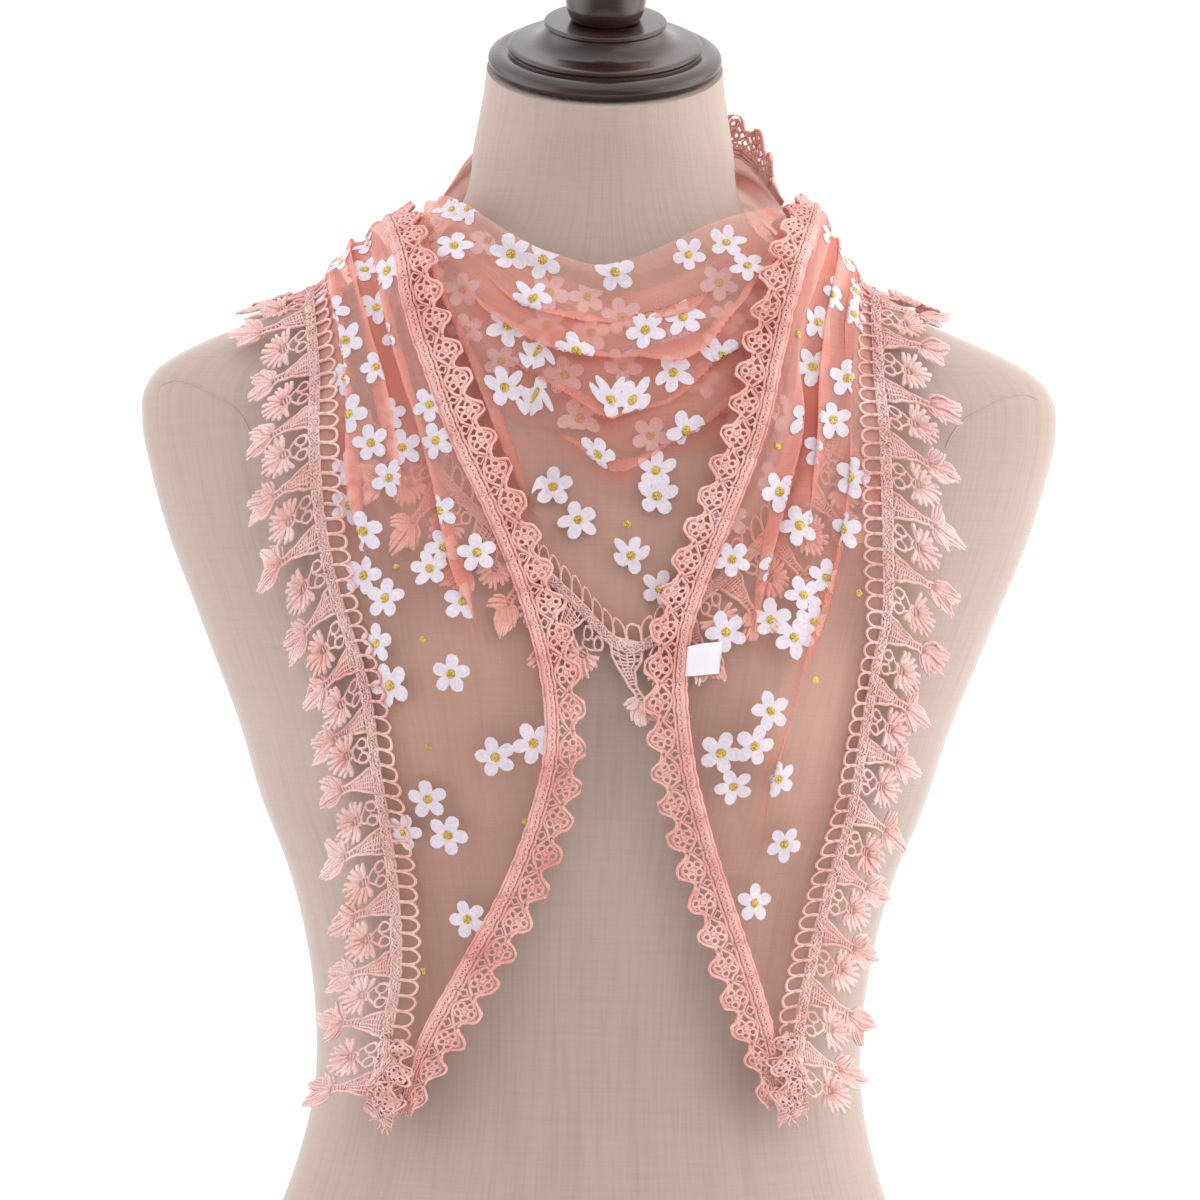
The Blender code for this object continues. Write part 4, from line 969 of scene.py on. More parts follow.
def add_long_motif(t, centre, rng):
    """A net triangle between two cords that narrow to a stalk, and a tassel of two or three leaves."""
    lean = 0.08 * rng.standard_normal()
    reach = 1.0 + 0.07 * rng.standard_normal()

    def side_at(side, out):
        half = np.interp(out, *STALK)
        return (centre + side * half + lean * (out - 4), out * reach)

    for side in (-1, 1):
        t.thread([side_at(side, o) for o in STALK[0]], 0.72, 5)
    slant = 0.5 * rng.standard_normal()
    for out in np.arange(5.0, 16.0, 1.15):
        turn = slant + 0.25 * rng.standard_normal()
        left, right = side_at(-0.96, out - turn), side_at(0.96, out + turn)
        middle = ((left[0] + right[0]) / 2, (left[1] + right[1]) / 2 + 0.3, 0.25)
        t.thread([(*left, 0.0), middle, (*right, 0.0)], NET)
    for share in (-0.55, -0.1, 0.4):
        t.thread([(*side_at(share, o), 0.3 + 0.15 * rng.standard_normal()) for o in (3.7, 7, 10, 13.5)],
                 NET)
    for out in (17.2, 18.9, 20.6):
        t.thread([side_at(-1, out), side_at(1, out + 0.4)], FINE)
    tip = (centre + lean * 18, 21.6 * reach, 0.1)
    tilt = math.atan(lean) + 0.12 * rng.standard_normal()
    rise = 0.8 + 2.0 * rng.random()
    tint = 0.25 + 0.5 * rng.random()
    for angle, length, width, count in THREE_LEAVES if rng.random() < 0.6 else CROSSED_LEAVES:
        turn = tilt + angle + 0.08 * rng.standard_normal()
        base = (tip[0] + 1.0 * math.sin(turn), tip[1] + 1.0 * math.cos(turn) - 0.6, tip[2])
        add_leaf(t, base, turn, length * reach, width, count, rise, rng, tint)


def add_short_motif(t, middle, rng):
    """Two rings on the header, an upturned V, an oval eye and a round fan of thick strands."""
    lean = 0.10 * rng.standard_normal()
    eye = (middle + lean * 9, 14.4)
    for side in (-1, 1):
        t.ring((middle + side * 3.0, 6.9), 2.45, 9, CORD, 5, 0.88, rng.random())
        t.thread(curve(((middle + side * 3.9, 8.9), (middle + side * 2.4 + lean * 4, 11.0),
                        (eye[0] + side * 0.9, eye[1] - 2.2)), 5), 0.6)
        t.thread([(middle + side * 3.3, 3.7), (middle + side * 3.1, 4.7)], CORD)
    t.thread([(middle - 0.7, 7.4), (middle + 0.7, 7.6)], 0.6)
    t.ring(eye, 2.5, 10, CORD, 5, 0.95)
    for out in (-1.0, 0.4):
        t.thread([(eye[0] - 2.1, eye[1] + out), (eye[0] + 2.1, eye[1] + out + 0.4)], FINE)
    tilt = math.atan(lean) + 0.15 * rng.standard_normal()
    rise = 0.6 + 1.6 * rng.random()
    tint = 0.15 + 0.5 * rng.random()
    share = np.linspace(0, 1, len(FAN_STRAND))
    for k in range(FAN_STRANDS):
        under = k % 2
        across = k / (FAN_STRANDS - 1) * 2 - 1
        turn = tilt + 1.85 * across + 0.04 * rng.standard_normal()
        length = 7.2 - 0.8 * abs(across) + 0.4 * rng.standard_normal() - 1.9 * under
        away = np.array([math.sin(turn), math.cos(turn)])
        path = np.array(eye) + away * (2.0 + length * share)[:, None]
        above = 0.35 - 0.5 * under + rise * share**2 + 0.2 * rng.standard_normal()
        t.thread(np.concatenate([path, above[:, None]], axis=1), FAN_STRAND, flat=0.7,
                 tints=end_tints(tint, share))


def edging_repeat(rng):
    """One scallop: cords, a wavy inner cord, a five-petal rosette in an eye, and its net."""
    t = Threads(EDGING_THICKNESS)
    p = EDGING_PITCH
    for out, radius, lift in EDGING_CORDS:
        t.line(np.linspace(0, p, 5), out, lift, radius, 5)
    t.line(np.linspace(0, p, 15), 1.8 + 0.75 * np.cos(np.pi * np.arange(15)), 0.62, 0.52, tint=0.2)
    lean = 0.5 + 0.3 * rng.standard_normal()
    tall = 0.35 * rng.standard_normal()
    crown = p / 2 + lean
    t.thread(curve(((0, 11.2), (1.7, 11.5), (crown - 4.2, 12.9), (crown - 3.0, 15.0),
                    (crown - 1.5, 16.4 + tall), (crown, 16.8 + tall), (crown + 1.5, 16.4 + tall),
                    (crown + 3.0, 15.0), (crown + 4.2, 12.9), (p - 1.5, 11.5), (p, 11.2)), 17), 0.66, 5)
    t.thread(curve(((0, 9.6), (crown - 4.0, 11.0), (crown - 2.2, 13.9), (crown, 15.0),
                    (crown + 2.2, 13.9), (crown + 4.0, 11.0), (p, 9.6)), 11), FINE)
    t.thread(curve(((0, 9.8), (1.9, 8.0), (4.3, 6.0), (p / 2, 5.4), (10.2, 6.0), (12.6, 8.0),
                    (p, 9.8)), 11), 0.55, 5)
    heart = (p / 2 + 0.5 * lean, 10.3)

    def about(angle, x_reach, y_reach):
        return (heart[0] + x_reach * math.cos(angle), heart[1] + y_reach * math.sin(angle))

    for k in range(5):
        angle = 2 * math.pi * k / 5 + 0.3
        t.ring(about(angle, 2.9, 2.9), 1.5, 7, 0.6, turn=angle)
        for fan in (-0.22, 0.22):
            t.thread([about(angle, 4.0, 4.0), about(angle + fan, 6.2, 5.0)], FINE)
    t.ring(heart, 0.6, 6, 0.7)
    for foot, way in ((p, -1), (0, 1)):
        t.thread([(foot, 4.4), (foot + way * 1.9, 6.2), (foot, 8.2)], 0.45)
        t.thread([(foot, 8.4), (foot + way * 1.5, 10.3), (foot + way * 0.3, 11.2)], 0.4)
    t.line(np.linspace(0, p, 11), np.where(np.arange(11) % 2 == 0, 3.0, 5.2), 0.0, 0.38)
    return t.flat()


class EdgeMap:
    """Places flat lace along an edge of a cloth: along the edge, out from it, and above it."""

    def __init__(self, cloth, side, start, end):
        self.cloth, self.side = cloth, side
        self.column = cloth.first if side == "inner" else cloth.last
        normal = grid_normals(cloth.place)
        flip = np.sum(normal * cloth.normals, axis=-1, keepdims=True) < 0
        self.normal = unit(blur_rows(np.where(flip, -normal, normal).reshape(len(normal), -1), 6)
                           .reshape(normal.shape))
        self.tangent = np.gradient(cloth.place, axis=0)
        self.run = distances(cloth.place[:, self.column])
        self.start = self.run[start]
        self.length = self.run[end] - self.run[start]

    def fall(self, along):
        """How steeply the edge runs down at a place along it, from -1 to 1."""
        row = int(np.interp(self.start + along, self.run, range(len(self.run))))
        row = min(max(row, 3), len(self.run) - 4)
        step = self.cloth.place[row + 3, self.column] - self.cloth.place[row - 3, self.column]
        return -step[2] / np.linalg.norm(step)

    def spot(self, along, out):
        """Places, normals and the edge's direction at distances along the edge and out from it."""
        row = np.interp(along, self.run, range(len(self.run)))
        width = np.interp(row, range(len(self.cloth.width)), self.cloth.width)
        room = np.minimum(width / LOOP_ROOM, 1)
        inward = np.minimum(out, 0) * room / width * COLUMNS
        columns_out = (0, *sorted(EDGING_OUT)) if self.side == "inner" else (0, *FRINGE_OUT)
        outward = np.interp(out, columns_out, range(len(columns_out)))
        shift = np.where(out < 0, inward, outward)
        column = self.column - shift if self.side == "inner" else self.column + shift
        place = self.cloth.read(self.cloth.place, row, column)
        normal = unit(self.cloth.read(self.normal, row, column))
        over = np.minimum(along - self.run[0], 0) + np.maximum(along - self.run[-1], 0)
        tangent = unit(self.cloth.read(self.tangent, row, 0 * row + self.column))
        return place + tangent * over[:, None], normal, tangent

    def place_points(self, flat, middle=None):
        """Flat lace on the surface. Beyond the header a motif keeps its width about its own middle."""
        place, normal, _ = self.spot(self.start + flat[:, 0], flat[:, 1])
        if middle is not None:
            firm = smooth_step((flat[:, 1] - 5) / 6)[:, None]
            centre, upright, tangent = self.spot(self.start + middle, flat[:, 1])
            place = place + firm * (centre + tangent * (flat[:, 0] - middle)[:, None] - place)
            normal = unit(normal + firm * (upright - normal))
        return place + normal * (LACE_LIFT + flat[:, 2])[:, None]


# The edging grows narrower and lifts over TAPER millimetres towards a tail's tip.
TAPER = 42.0
VARIANTS = 7
WAVER = 0.28
DROOP = 3.0                     # how far the fringe's outer end hangs below its edge
SAG = 0.34                      # how far its motifs lean towards the floor
TIP_TINT = 0.45
# The four turned pieces of edging in a gathered tip: turn, shift along it, height and squeeze.
TIP_PARTS = ((0.3, -20.0, 3.4, 0.62), (-0.4, -12.0, 5.2, 0.60), (0.5, -5.0, 4.0, 0.56),
             (1.3, -1.0, 3.0, 0.50))


def lay_repeats(name, edge, pitch, make, mat, node, seed, droop=0.0, sag=0.0, tip=None):
    """A lace along an edge: seeded variants of one repeat, laid one after another. Its motifs hang
    towards the floor by sag, and a gathered tip is joined on where tip names one."""
    rng = np.random.default_rng(seed)
    variants = [make(rng) for _ in range(VARIANTS)]
    count = max(1, round(edge.length / pitch))
    stretch = edge.length / (count * pitch)
    lace = Joined()
    middles = []
    for k in range(count):
        flat, sides, (tints, root) = variants[int(rng.integers(VARIANTS))]
        flat = flat.copy()
        waver = WAVER * np.sin(flat[:, 1] * 1.05 + 2.1 * k + seed)
        flat[:, 1] += WAVER * np.sin(flat[:, 0] * 0.9 + 1.3 * k)
        flat[:, 0] += waver * np.clip(flat[:, 1] / 3, 0, 1)
        if sag:
            middle = np.where(root < pitch / 2, LONG_MOTIF, SHORT_MOTIF)
            lean = sag * (0.65 + 0.7 * rng.random()) * edge.fall((k + 0.5) * pitch * stretch)
            hang = lean * np.maximum(flat[:, 1] - 4.5, 0)
            flat[:, 0] += hang
            middles.append((middle + hang + k * pitch) * stretch)
        flat[:, 0] = (flat[:, 0] + k * pitch) * stretch
        if tip:
            away = flat[:, 0] if tip == "first" else edge.length - flat[:, 0]
            near = smooth_step((TAPER - away) / TAPER)
            flat[:, 2] += near * (1.2 + 0.9 * np.sin(flat[:, 0] * 0.5 + flat[:, 1] * 0.45))
            flat[:, 1] *= 1 - 0.5 * near
        lace.add(flat, sides, tints)
    flat = np.concatenate(lace.points)
    points = edge.place_points(flat, np.concatenate(middles) if sag else None)
    points[:, 2] -= droop * np.clip(flat[:, 1] / 45, 0, 1.2) ** 2
    lace.points = [points]
    if tip:
        add_gathered_tip(lace, edge.cloth, tip, rng)
    points, faces, tints = lace.flat()
    return add_piece(name, points, faces, mat, (node,), colors=tints)


def add_gathered_tip(lace, cloth, end, rng):
    """The crumpled, curled end of the edging where a tail comes to its tip, with loose threads."""
    last = 0 if end == "first" else len(cloth.place) - 1
    inward = 6 if end == "first" else -6
    middle = cloth.first + COLUMNS // 2
    tip = cloth.place[last, middle]
    down = unit(tip - cloth.place[last + inward, middle])
    normal = cloth.normals[last, middle]
    normal = unit(normal - down * np.dot(normal, down))
    across = unit(cloth.place[last, cloth.first] - cloth.place[last, cloth.last])
    across = unit(across - down * np.dot(across, down))
    for turn, shift, above, squeeze in TIP_PARTS:
        for k, (flat, sides, (tints, _)) in enumerate([edging_repeat(rng) for _ in range(2)]):
            along = (flat[:, 0] + (k - 1) * EDGING_PITCH) * squeeze
            out = (flat[:, 1] - 8.0) * 0.86
            x = along * math.cos(turn) - out * math.sin(turn)
            y = along * math.sin(turn) + out * math.cos(turn)
            height = above + flat[:, 2] + 2.0 * np.cos(out * 0.3) + 0.9 * np.sin(along * 1.1 + turn * 3)
            place = tip + down * (x + shift)[:, None] + across * y[:, None] + normal * height[:, None]
            lace.add(place, sides, tints + TIP_TINT)
    loose = Threads()
    share = np.linspace(0, 1, 7)
    for k in range(5):
        start = np.array([4.0 * rng.standard_normal(), 3.0 + 2.0 * rng.random()])
        swing = 0.3 * rng.standard_normal()
        length = 4.0 + 3.0 * rng.random()
        loose.line(start[0] + length * (swing * share + 0.14 * np.sin(5 * share + k)),
                   start[1] + length * share, 2.0 + rng.standard_normal() * share, FINE)
    flat, sides, (tints, _) = loose.flat()
    lace.add(tip + across * flat[:, :1] + down * flat[:, 1:2] + normal * flat[:, 2:], sides, tints)


# ---------------------------------------------------------------- printed flowers

PETALS = 5
PETAL_MIDDLE = 4.7
PETAL_HALF_LENGTH = 3.75
PETAL_HALF_WIDTH = 2.75
PETAL_SIDES = 10
CENTRE_SIDES = 8
CENTRE_RADII = (1.2, 2.05)
CENTRE_LIFTS = (0.75, 0.7, 0.45)
PETAL_LIFT = 0.3
LONE_DOT_SIZE = 0.75
LONE_DOT_SHARE = 0.12
TRIES_PER_ROW = 3


def disc_faces(base, sides):
    """The faces of a disc: a middle point and two rings."""
    faces = []
    inner, outer = base + 1, base + 1 + sides
    for m in range(sides):
        n = (m + 1) % sides
        faces += [(base, inner + m, inner + n), (inner + m, outer + m, outer + n, inner + n)]
    return faces


def flower_shape():
    """Five flat round petals and a small raised centre, in millimetres."""
    petals, petal_faces = [], []
    for k in range(PETALS):
        angle = 2 * math.pi * k / PETALS
        petal_faces += disc_faces(len(petals), PETAL_SIDES)
        petals.append((PETAL_MIDDLE * math.cos(angle), PETAL_MIDDLE * math.sin(angle)))
        for share in (0.55, 1.0):
            for m in range(PETAL_SIDES):
                turn = 2 * math.pi * m / PETAL_SIDES
                swell = 1.0 + 0.16 * math.cos(turn)
                side = PETAL_HALF_WIDTH * share * swell * math.sin(turn)
                x = PETAL_MIDDLE + PETAL_HALF_LENGTH * share * math.cos(turn)
                petals.append((x * math.cos(angle) - side * math.sin(angle),
                               x * math.sin(angle) + side * math.cos(angle)))
    turns = [2 * math.pi * m / CENTRE_SIDES for m in range(CENTRE_SIDES)]
    dots = [(0.0, 0.0)] + [(radius * math.cos(turn), radius * math.sin(turn))
                           for radius in CENTRE_RADII for turn in turns]
    lifts = np.repeat(CENTRE_LIFTS, (1, CENTRE_SIDES, CENTRE_SIDES))
    return np.array(petals), petal_faces, np.array(dots), disc_faces(0, CENTRE_SIDES), lifts[:, None]


class Print:
    """The flowers and gold dots printed on one stretch of cloth."""

    SHAPE = flower_shape()

    def __init__(self, name, sheet, seed):
        self.name, self.sheet = name, sheet
        self.rng = np.random.default_rng(seed)
        self.petals, self.dots = Joined(), Joined()
        self.centres = []

    def add(self, sheet, row, column, only_dot=False):
        turn = self.rng.random() * 2 * math.pi
        size = 1 + 0.05 * self.rng.standard_normal()
        spin = np.array([[math.cos(turn), math.sin(turn)], [-math.sin(turn), math.cos(turn)]])
        petals, petal_faces, dots, dot_faces, lifts = self.SHAPE
        if not only_dot:
            rows, columns = sheet.spread(row, column, petals @ spin * size)
            self.petals.add(sheet.place(rows, columns, PETAL_LIFT), petal_faces)
        dot_size = LONE_DOT_SIZE if only_dot else 1.0
        rows, columns = sheet.spread(row, column, dots @ spin * size * dot_size)
        self.dots.add(sheet.place(rows, columns, lifts), dot_faces)
        self.centres.append(self.middle(sheet, row, column))

    @staticmethod
    def middle(sheet, row, column):
        return sheet.place(np.array([row]), np.array([column]), 0.0)[0]

    def at_pixel(self, x, y, only_dot=False):
        """Puts a flower where the camera's ray through a place of the frame first meets the cloth."""
        sheet = self.sheet
        point, _, face, _ = sheet.tree.ray_cast(*camera_ray(x, y))
        if point is None:
            return
        i, j = divmod(face, sheet.points.shape[1] - 1)
        corner = sheet.points[i, j]
        reach = np.array(point) - corner
        shares = []
        for way in (sheet.points[i + 1, j] - corner, sheet.points[i, j + 1] - corner):
            shares.append(float(np.clip(np.dot(reach, way) / max(np.dot(way, way), 1e-9), 0, 1)))
        self.add(sheet, i + shares[0], j + shares[1], only_dot)

    def scatter(self, sheet, rows, shares, spacing):
        """Fills a part of a sheet with flowers at about a spacing, clear of those already there."""
        low, high = rows
        last = sheet.points.shape[1] - 1
        for _ in range(int((high - low) * TRIES_PER_ROW)):
            row = low + self.rng.random() * (high - low)
            column = (shares[0] + self.rng.random() * (shares[1] - shares[0])) * last
            point = self.middle(sheet, row, column)
            if self.centres and min(np.linalg.norm(point - c) for c in self.centres) < spacing:
                continue
            self.add(sheet, row, column, self.rng.random() < LONE_DOT_SHARE)

    def build(self, petal_mat, gold_mat):
        made = []
        for part, mesh, mat in (("petals", self.petals, petal_mat), ("centres", self.dots, gold_mat)):
            points, faces, _ = mesh.flat()
            made.append(add_piece(f"{self.name}_{part}", points, faces, mat))
        return made


# ---------------------------------------------------------------- camera

EYE = (0.00172, -1.9, 0.3964)
ROLL = math.radians(-0.95)
FOCAL_PIXELS = 4418.6
FRAME_PIXELS = 1200
SENSOR_WIDTH = 36.0


def camera_ray(x, y):
    """The camera's place in millimetres, and the way it looks at a place of the frame."""
    right = np.array([math.cos(ROLL), 0.0, -math.sin(ROLL)])
    up = np.array([math.sin(ROLL), 0.0, math.cos(ROLL)])
    half = FRAME_PIXELS / 2
    direction = np.array([0.0, 1.0, 0.0]) + right * (x - half) / FOCAL_PIXELS
    direction = direction - up * (y - half) / FOCAL_PIXELS
    return Vector(np.array(EYE) / MM), Vector(unit(direction))


def build_camera():
    data = bpy.data.cameras.new("camera")
    data.sensor_width = SENSOR_WIDTH
    data.lens = SENSOR_WIDTH * FOCAL_PIXELS / FRAME_PIXELS
    made = bpy.data.objects.new("camera", data)
    made.location = EYE
    made.rotation_euler = (math.pi / 2, ROLL, 0.0)
    bpy.context.scene.collection.objects.link(made)
    bpy.context.scene.camera = made


# ---------------------------------------------------------------- form, wood and label

FINE_RINGS = 190
FINE_SEGMENTS = 168
BASE_INSET = 0.02
UV_RADIUS = 0.09                # in metres, of the tube that the linen's weave lies on

# In the photograph the neck's top leans further forward than in its solid, and the cap and its ball
# are lower. The neck above LEAN_BASE, the cap and the knob follow the photograph here.
LEAN_TILT = math.radians(25)
LEAN_BASE = 585.0
LEAN_DROP = 0.6
LEAN_NARROW = 0.042
NECK_SEAT = Vector((0, FORM_RINGS[-1].lean, NECK_TOP - LEAN_DROP))
CAP_LOOK = (
    (0.01, 21.2), (25.2, 21.2), (26.2, 20.5), (26.2, 19.2), (25.0, 18.5), (26.8, 15.4), (31.0, 12.4),
    (36.5, 11.4), (40.8, 11.0), (41.6, 9.7), (41.0, 8.3), (41.4, 7.9), (45.6, 8.2), (49.2, 6.2),
    (50.0, 4.0), (49.0, 1.6), (47.2, 0.0), (0.01, 0.0),
)
KNOB_RADIUS = 17.0
BALL_CENTRE = 9.0
BUTTON_RADIUS = 9.5
BUTTON_CENTRE = 37.6
STEM_RADIUS = 5.6


def leaned(points, heights):
    """Leans the top of the neck forward and narrows it to the cap's width."""
    share = smooth_step((heights - LEAN_BASE) / (NECK_TOP - LEAN_BASE)) + 0 * points[..., 0]
    slope = math.tan(LEAN_TILT) - math.tan(NECK_TILT)
    made = points.copy()
    made[..., 2] += share * (slope * (points[..., 1] - FORM_RINGS[-1].lean) - LEAN_DROP)
    made[..., 0] *= 1 - LEAN_NARROW * share
    return made


def build_form(mat):
    """The linen body, closed by a fan below and another above."""
    heights = np.linspace(0, NECK_TOP, FINE_RINGS)
    angles = np.linspace(0, 2 * math.pi, FINE_SEGMENTS, endpoint=False)
    points = leaned(form_points(heights[:, None], angles[None, :]), heights[:, None])
    bottom = points[:1] * np.array([0.0, 0.0, 1.0])
    inset = points[:1] + (bottom - points[:1]) * BASE_INSET
    grid = np.concatenate([inset, points])
    around = np.broadcast_to(angles[None, :] * UV_RADIUS, grid.shape[:2])
    up = np.concatenate([[-MM], heights * MM])[:, None] + 0 * angles[None, :]
    uv = np.stack([around, up], axis=-1).reshape(-1, 2)
    uv = np.concatenate([uv, [(0.0, 0.0), (0.0, 0.6)]])
    points = np.concatenate([grid.reshape(-1, 3), [(0.0, 0.0, 0.0), tuple(NECK_SEAT)]])
    faces = grid_faces(len(grid), FINE_SEGMENTS, closed=True)
    below, above = len(points) - 2, len(points) - 1
    last = below - FINE_SEGMENTS
    for k in range(FINE_SEGMENTS):
        n = (k + 1) % FINE_SEGMENTS
        faces += [(n, k, below), (last + k, last + n, above)]
    made = add_piece("form_linen", points, faces, mat, ("dress_form",), uv=uv)
    made.data.set_sharp_from_angle(angle=math.radians(50))
    return made


SEAM_PIXELS = ((147, 378), (160, 374), (175, 376), (190, 382), (205, 391), (220, 399), (232, 409),
               (240, 420), (246, 433))
SEAM_POINTS = 60
SEAM_NEARER = 0.955


def build_armhole_seams(mat):
    """The fine sewn seam at the front of each rounded shoulder end."""
    for name, way in (("armhole_seam_left", 1), ("armhole_seam_right", -1)):
        path = []
        for x, y in curve(SEAM_PIXELS, SEAM_POINTS):
            _, direction = camera_ray(x, y)
            reach = -(EYE[1] / MM) / direction[1]
            flat_x = EYE[0] / MM + direction[0] * reach * SEAM_NEARER
            flat_z = EYE[2] / MM + direction[2] * reach * SEAM_NEARER
            path.append(point_at("front", way * flat_x, flat_z))
        build_tube(name, np.array(path) + (0.0, -0.02, 0.0), 0.3, mat, 6)


def build_tube(name, path, radius, mat, sides):
    """An open round cord along a path."""
    tangent = unit(np.gradient(path, axis=0))
    side = unit(np.cross(tangent, np.array([0.0, 1.0, 0.0])))
    up = np.cross(tangent, side)
    angle = 2 * np.pi * np.arange(sides) / sides
    ring = path[:, None] + radius * (np.cos(angle)[None, :, None] * side[:, None]
                                     + np.sin(angle)[None, :, None] * up[:, None])
    return add_piece(name, ring.reshape(-1, 3), grid_faces(len(path), sides, closed=True), mat)


def rounded(profile, times):
    """Rounds the corners of a profile, keeping both ends."""
    for _ in range(times):
        cut = [profile[0]]
        for (r0, h0), (r1, h1) in zip(profile, profile[1:]):
            cut.append((0.78 * r0 + 0.22 * r1, 0.78 * h0 + 0.22 * h1))
            cut.append((0.22 * r0 + 0.78 * r1, 0.22 * h0 + 0.78 * h1))
        cut.append(profile[-1])
        profile = cut
    return profile


TURNED_SEGMENTS = 96


def build_turned(name, profile, seat, mat, node):
    angles = np.linspace(0, 2 * math.pi, TURNED_SEGMENTS, endpoint=False)
    grid = np.array([[(r * math.cos(a), r * math.sin(a), h) for a in angles] for r, h in profile])
    tilt = np.array(Matrix.Rotation(LEAN_TILT, 3, "X"))
    points = grid.reshape(-1, 3) @ tilt.T + np.array(seat)
    faces = [face[::-1] for face in grid_faces(len(profile), TURNED_SEGMENTS, closed=True)]
    made = add_piece(name, points, faces, mat, (node,))
    made.data.set_sharp_from_angle(angle=math.radians(60))
    return made


def arc(radius, centre, start, end, count):
    """Profile points on a ball, from one angle above its widest line to another."""
    return [(max(radius * math.cos(a), 0.01), centre + radius * math.sin(a))
            for a in np.linspace(start, end, count)]


def build_cap(mat):
    up = Vector((0, -math.sin(LEAN_TILT), math.cos(LEAN_TILT)))
    build_turned("turned_cap", rounded(list(CAP_LOOK), 3), NECK_SEAT + up * 0.3, mat, "neck_cap")
    profile = arc(BUTTON_RADIUS, BUTTON_CENTRE, math.pi / 2,
                  -math.acos(STEM_RADIUS / BUTTON_RADIUS), 18)
    profile += [(STEM_RADIUS - 0.5, 29.4), (STEM_RADIUS - 0.4, 27.6), (STEM_RADIUS + 0.6, 26.0),
                (STEM_RADIUS + 1.8, 24.9)]
    profile += arc(KNOB_RADIUS, BALL_CENTRE, math.acos((STEM_RADIUS + 3.2) / KNOB_RADIUS),
                   -math.asin(BALL_CENTRE / KNOB_RADIUS) * 0.98, 26)
    profile += [(13.9, 0.0), (0.01, 0.0)]
    build_turned("turned_knob", profile, NECK_SEAT + up * (CAP_LOOK[0][1] + 0.35), mat, "neck_knob")


LABEL_REACH = 15.5
LABEL_HALF = 6.2
LABEL_BASE = 0.45
LABEL_GAP = 0.35


def build_label(edge, at, mat):
    """A bare folded ribbon tab, caught under the edging and lying on the tail."""
    columns = np.linspace(-0.3, -LABEL_REACH, 14)
    rows = np.linspace(at - LABEL_HALF, at + LABEL_HALF, 8)
    flat = []
    for high in (0, 1):
        for a in rows:
            for o in columns:
                share = o / LABEL_REACH
                curl = 1.3 * share**2 + 0.35 * math.sin((a - at) * 0.45) * o / LABEL_REACH
                gap = LABEL_BASE + LABEL_GAP * math.sqrt(max(1 - share**2, 0)) if high else 0.0
                flat.append((a, o, -LABEL_BASE + curl * 0.6 + gap))
    flat = np.array(flat)
    faces = grid_faces(len(rows), len(columns))
    count = len(rows) * len(columns)
    faces += [tuple(count + v for v in face[::-1]) for face in faces]
    for a in range(len(columns) - 1, count - 1, len(columns)):
        b = a + len(columns)
        faces.append((a, b, count + b, count + a))
    return add_piece("label_tab", edge.place_points(flat), faces, mat, ("care_label",),
                     uv=flat[:, :2] * MM)


# ---------------------------------------------------------------- the whole scene

def chain(*parts):
    """Tables of rows one after another, and where each of them starts."""
    rows, starts = [], []
    for part in parts:
        starts.append(len(rows))
        rows += list(part)
    return rows, starts


# Where the photograph shows flowers and lone dots, in pixels of its frame.
SEEN = (
    ("tail_left",
     ((385, 598), (444, 548), (431, 569), (463, 601), (452, 674), (390, 686), (377, 643), (495, 757),
      (533, 743), (428, 799), (447, 835), (467, 919), (404, 832), (377, 308), (376, 367), (430, 405)),
     ((423, 640), (429, 746), (526, 821), (423, 971))),
    ("bib",
     ((454, 246), (452, 210), (468, 208), (511, 254), (542, 260), (533, 299), (615, 272), (646, 329),
      (683, 317), (688, 254), (726, 242), (748, 265), (674, 371), (634, 398), (507, 326), (538, 348),
      (576, 351), (504, 388), (536, 391), (610, 401), (686, 430), (597, 455), (657, 469), (658, 495),
      (553, 487), (578, 520), (660, 588), (631, 556), (724, 356), (777, 411), (794, 423), (777, 477),
      (729, 517)),
     ((626, 525),)),
    ("tail_right",
     ((770, 711), (754, 746), (720, 753), (733, 786), (778, 779), (784, 844), (754, 903), (727, 633),
      (771, 620), (814, 622), (803, 595), (794, 637), (842, 530), (826, 578), (849, 477), (831, 294),
      (813, 367), (833, 420)),
     ((815, 680),)),
)
# Where flowers are scattered, since the photograph shows none: the stretch, which of its sheets, from
# and to which rows of the tables, from and to which shares across, and the flowers' spacing.
FAR = 99
SCATTERED = (
    ("tail_left", 0, 6.2, FAR, 0.08, 0.92, 13.0), ("tail_right", 0, 0, 4.4, 0.08, 0.92, 13.0),
    ("bib", 1, 0, FAR, 0.05, 0.95, 13.5), ("bib", 0, 0, 2.4, 0.1, 0.9, 19.0),
    ("bib", 0, 9.8, FAR, 0.1, 0.9, 19.0), ("wrap_left", 0, 0, 6.2, 0.08, 0.92, 21.0),
    ("wrap_right", 0, 2.0, 9, 0.08, 0.92, 21.0),
)
# How far the left end swells off the form at the right of the neck, and the right end at its shoulder.
LEFT_SWELL = 6.5
RIGHT_SWELL = 3.0
LABEL_ALONG = 249.0


# Where more layers of cloth lie gathered: the height at which this starts, over how many millimetres
# it grows, and how many layers it adds. Behind the shoulders, it also grows towards the back.
BIB_GATHER = (415, 105, 0.7)
TAIL_GATHER = (375, 110, 1.2)
NECK_GATHER = (548, 30, 1.2)
TIP_GATHER = (212, -35, 0.8)
BACK_GATHER = (540, 30, 0.8)
BACK_START = (-5, 25)


def gathers(zone, height):
    start, reach, layers = zone
    return layers * smooth_step((height - start) / reach)


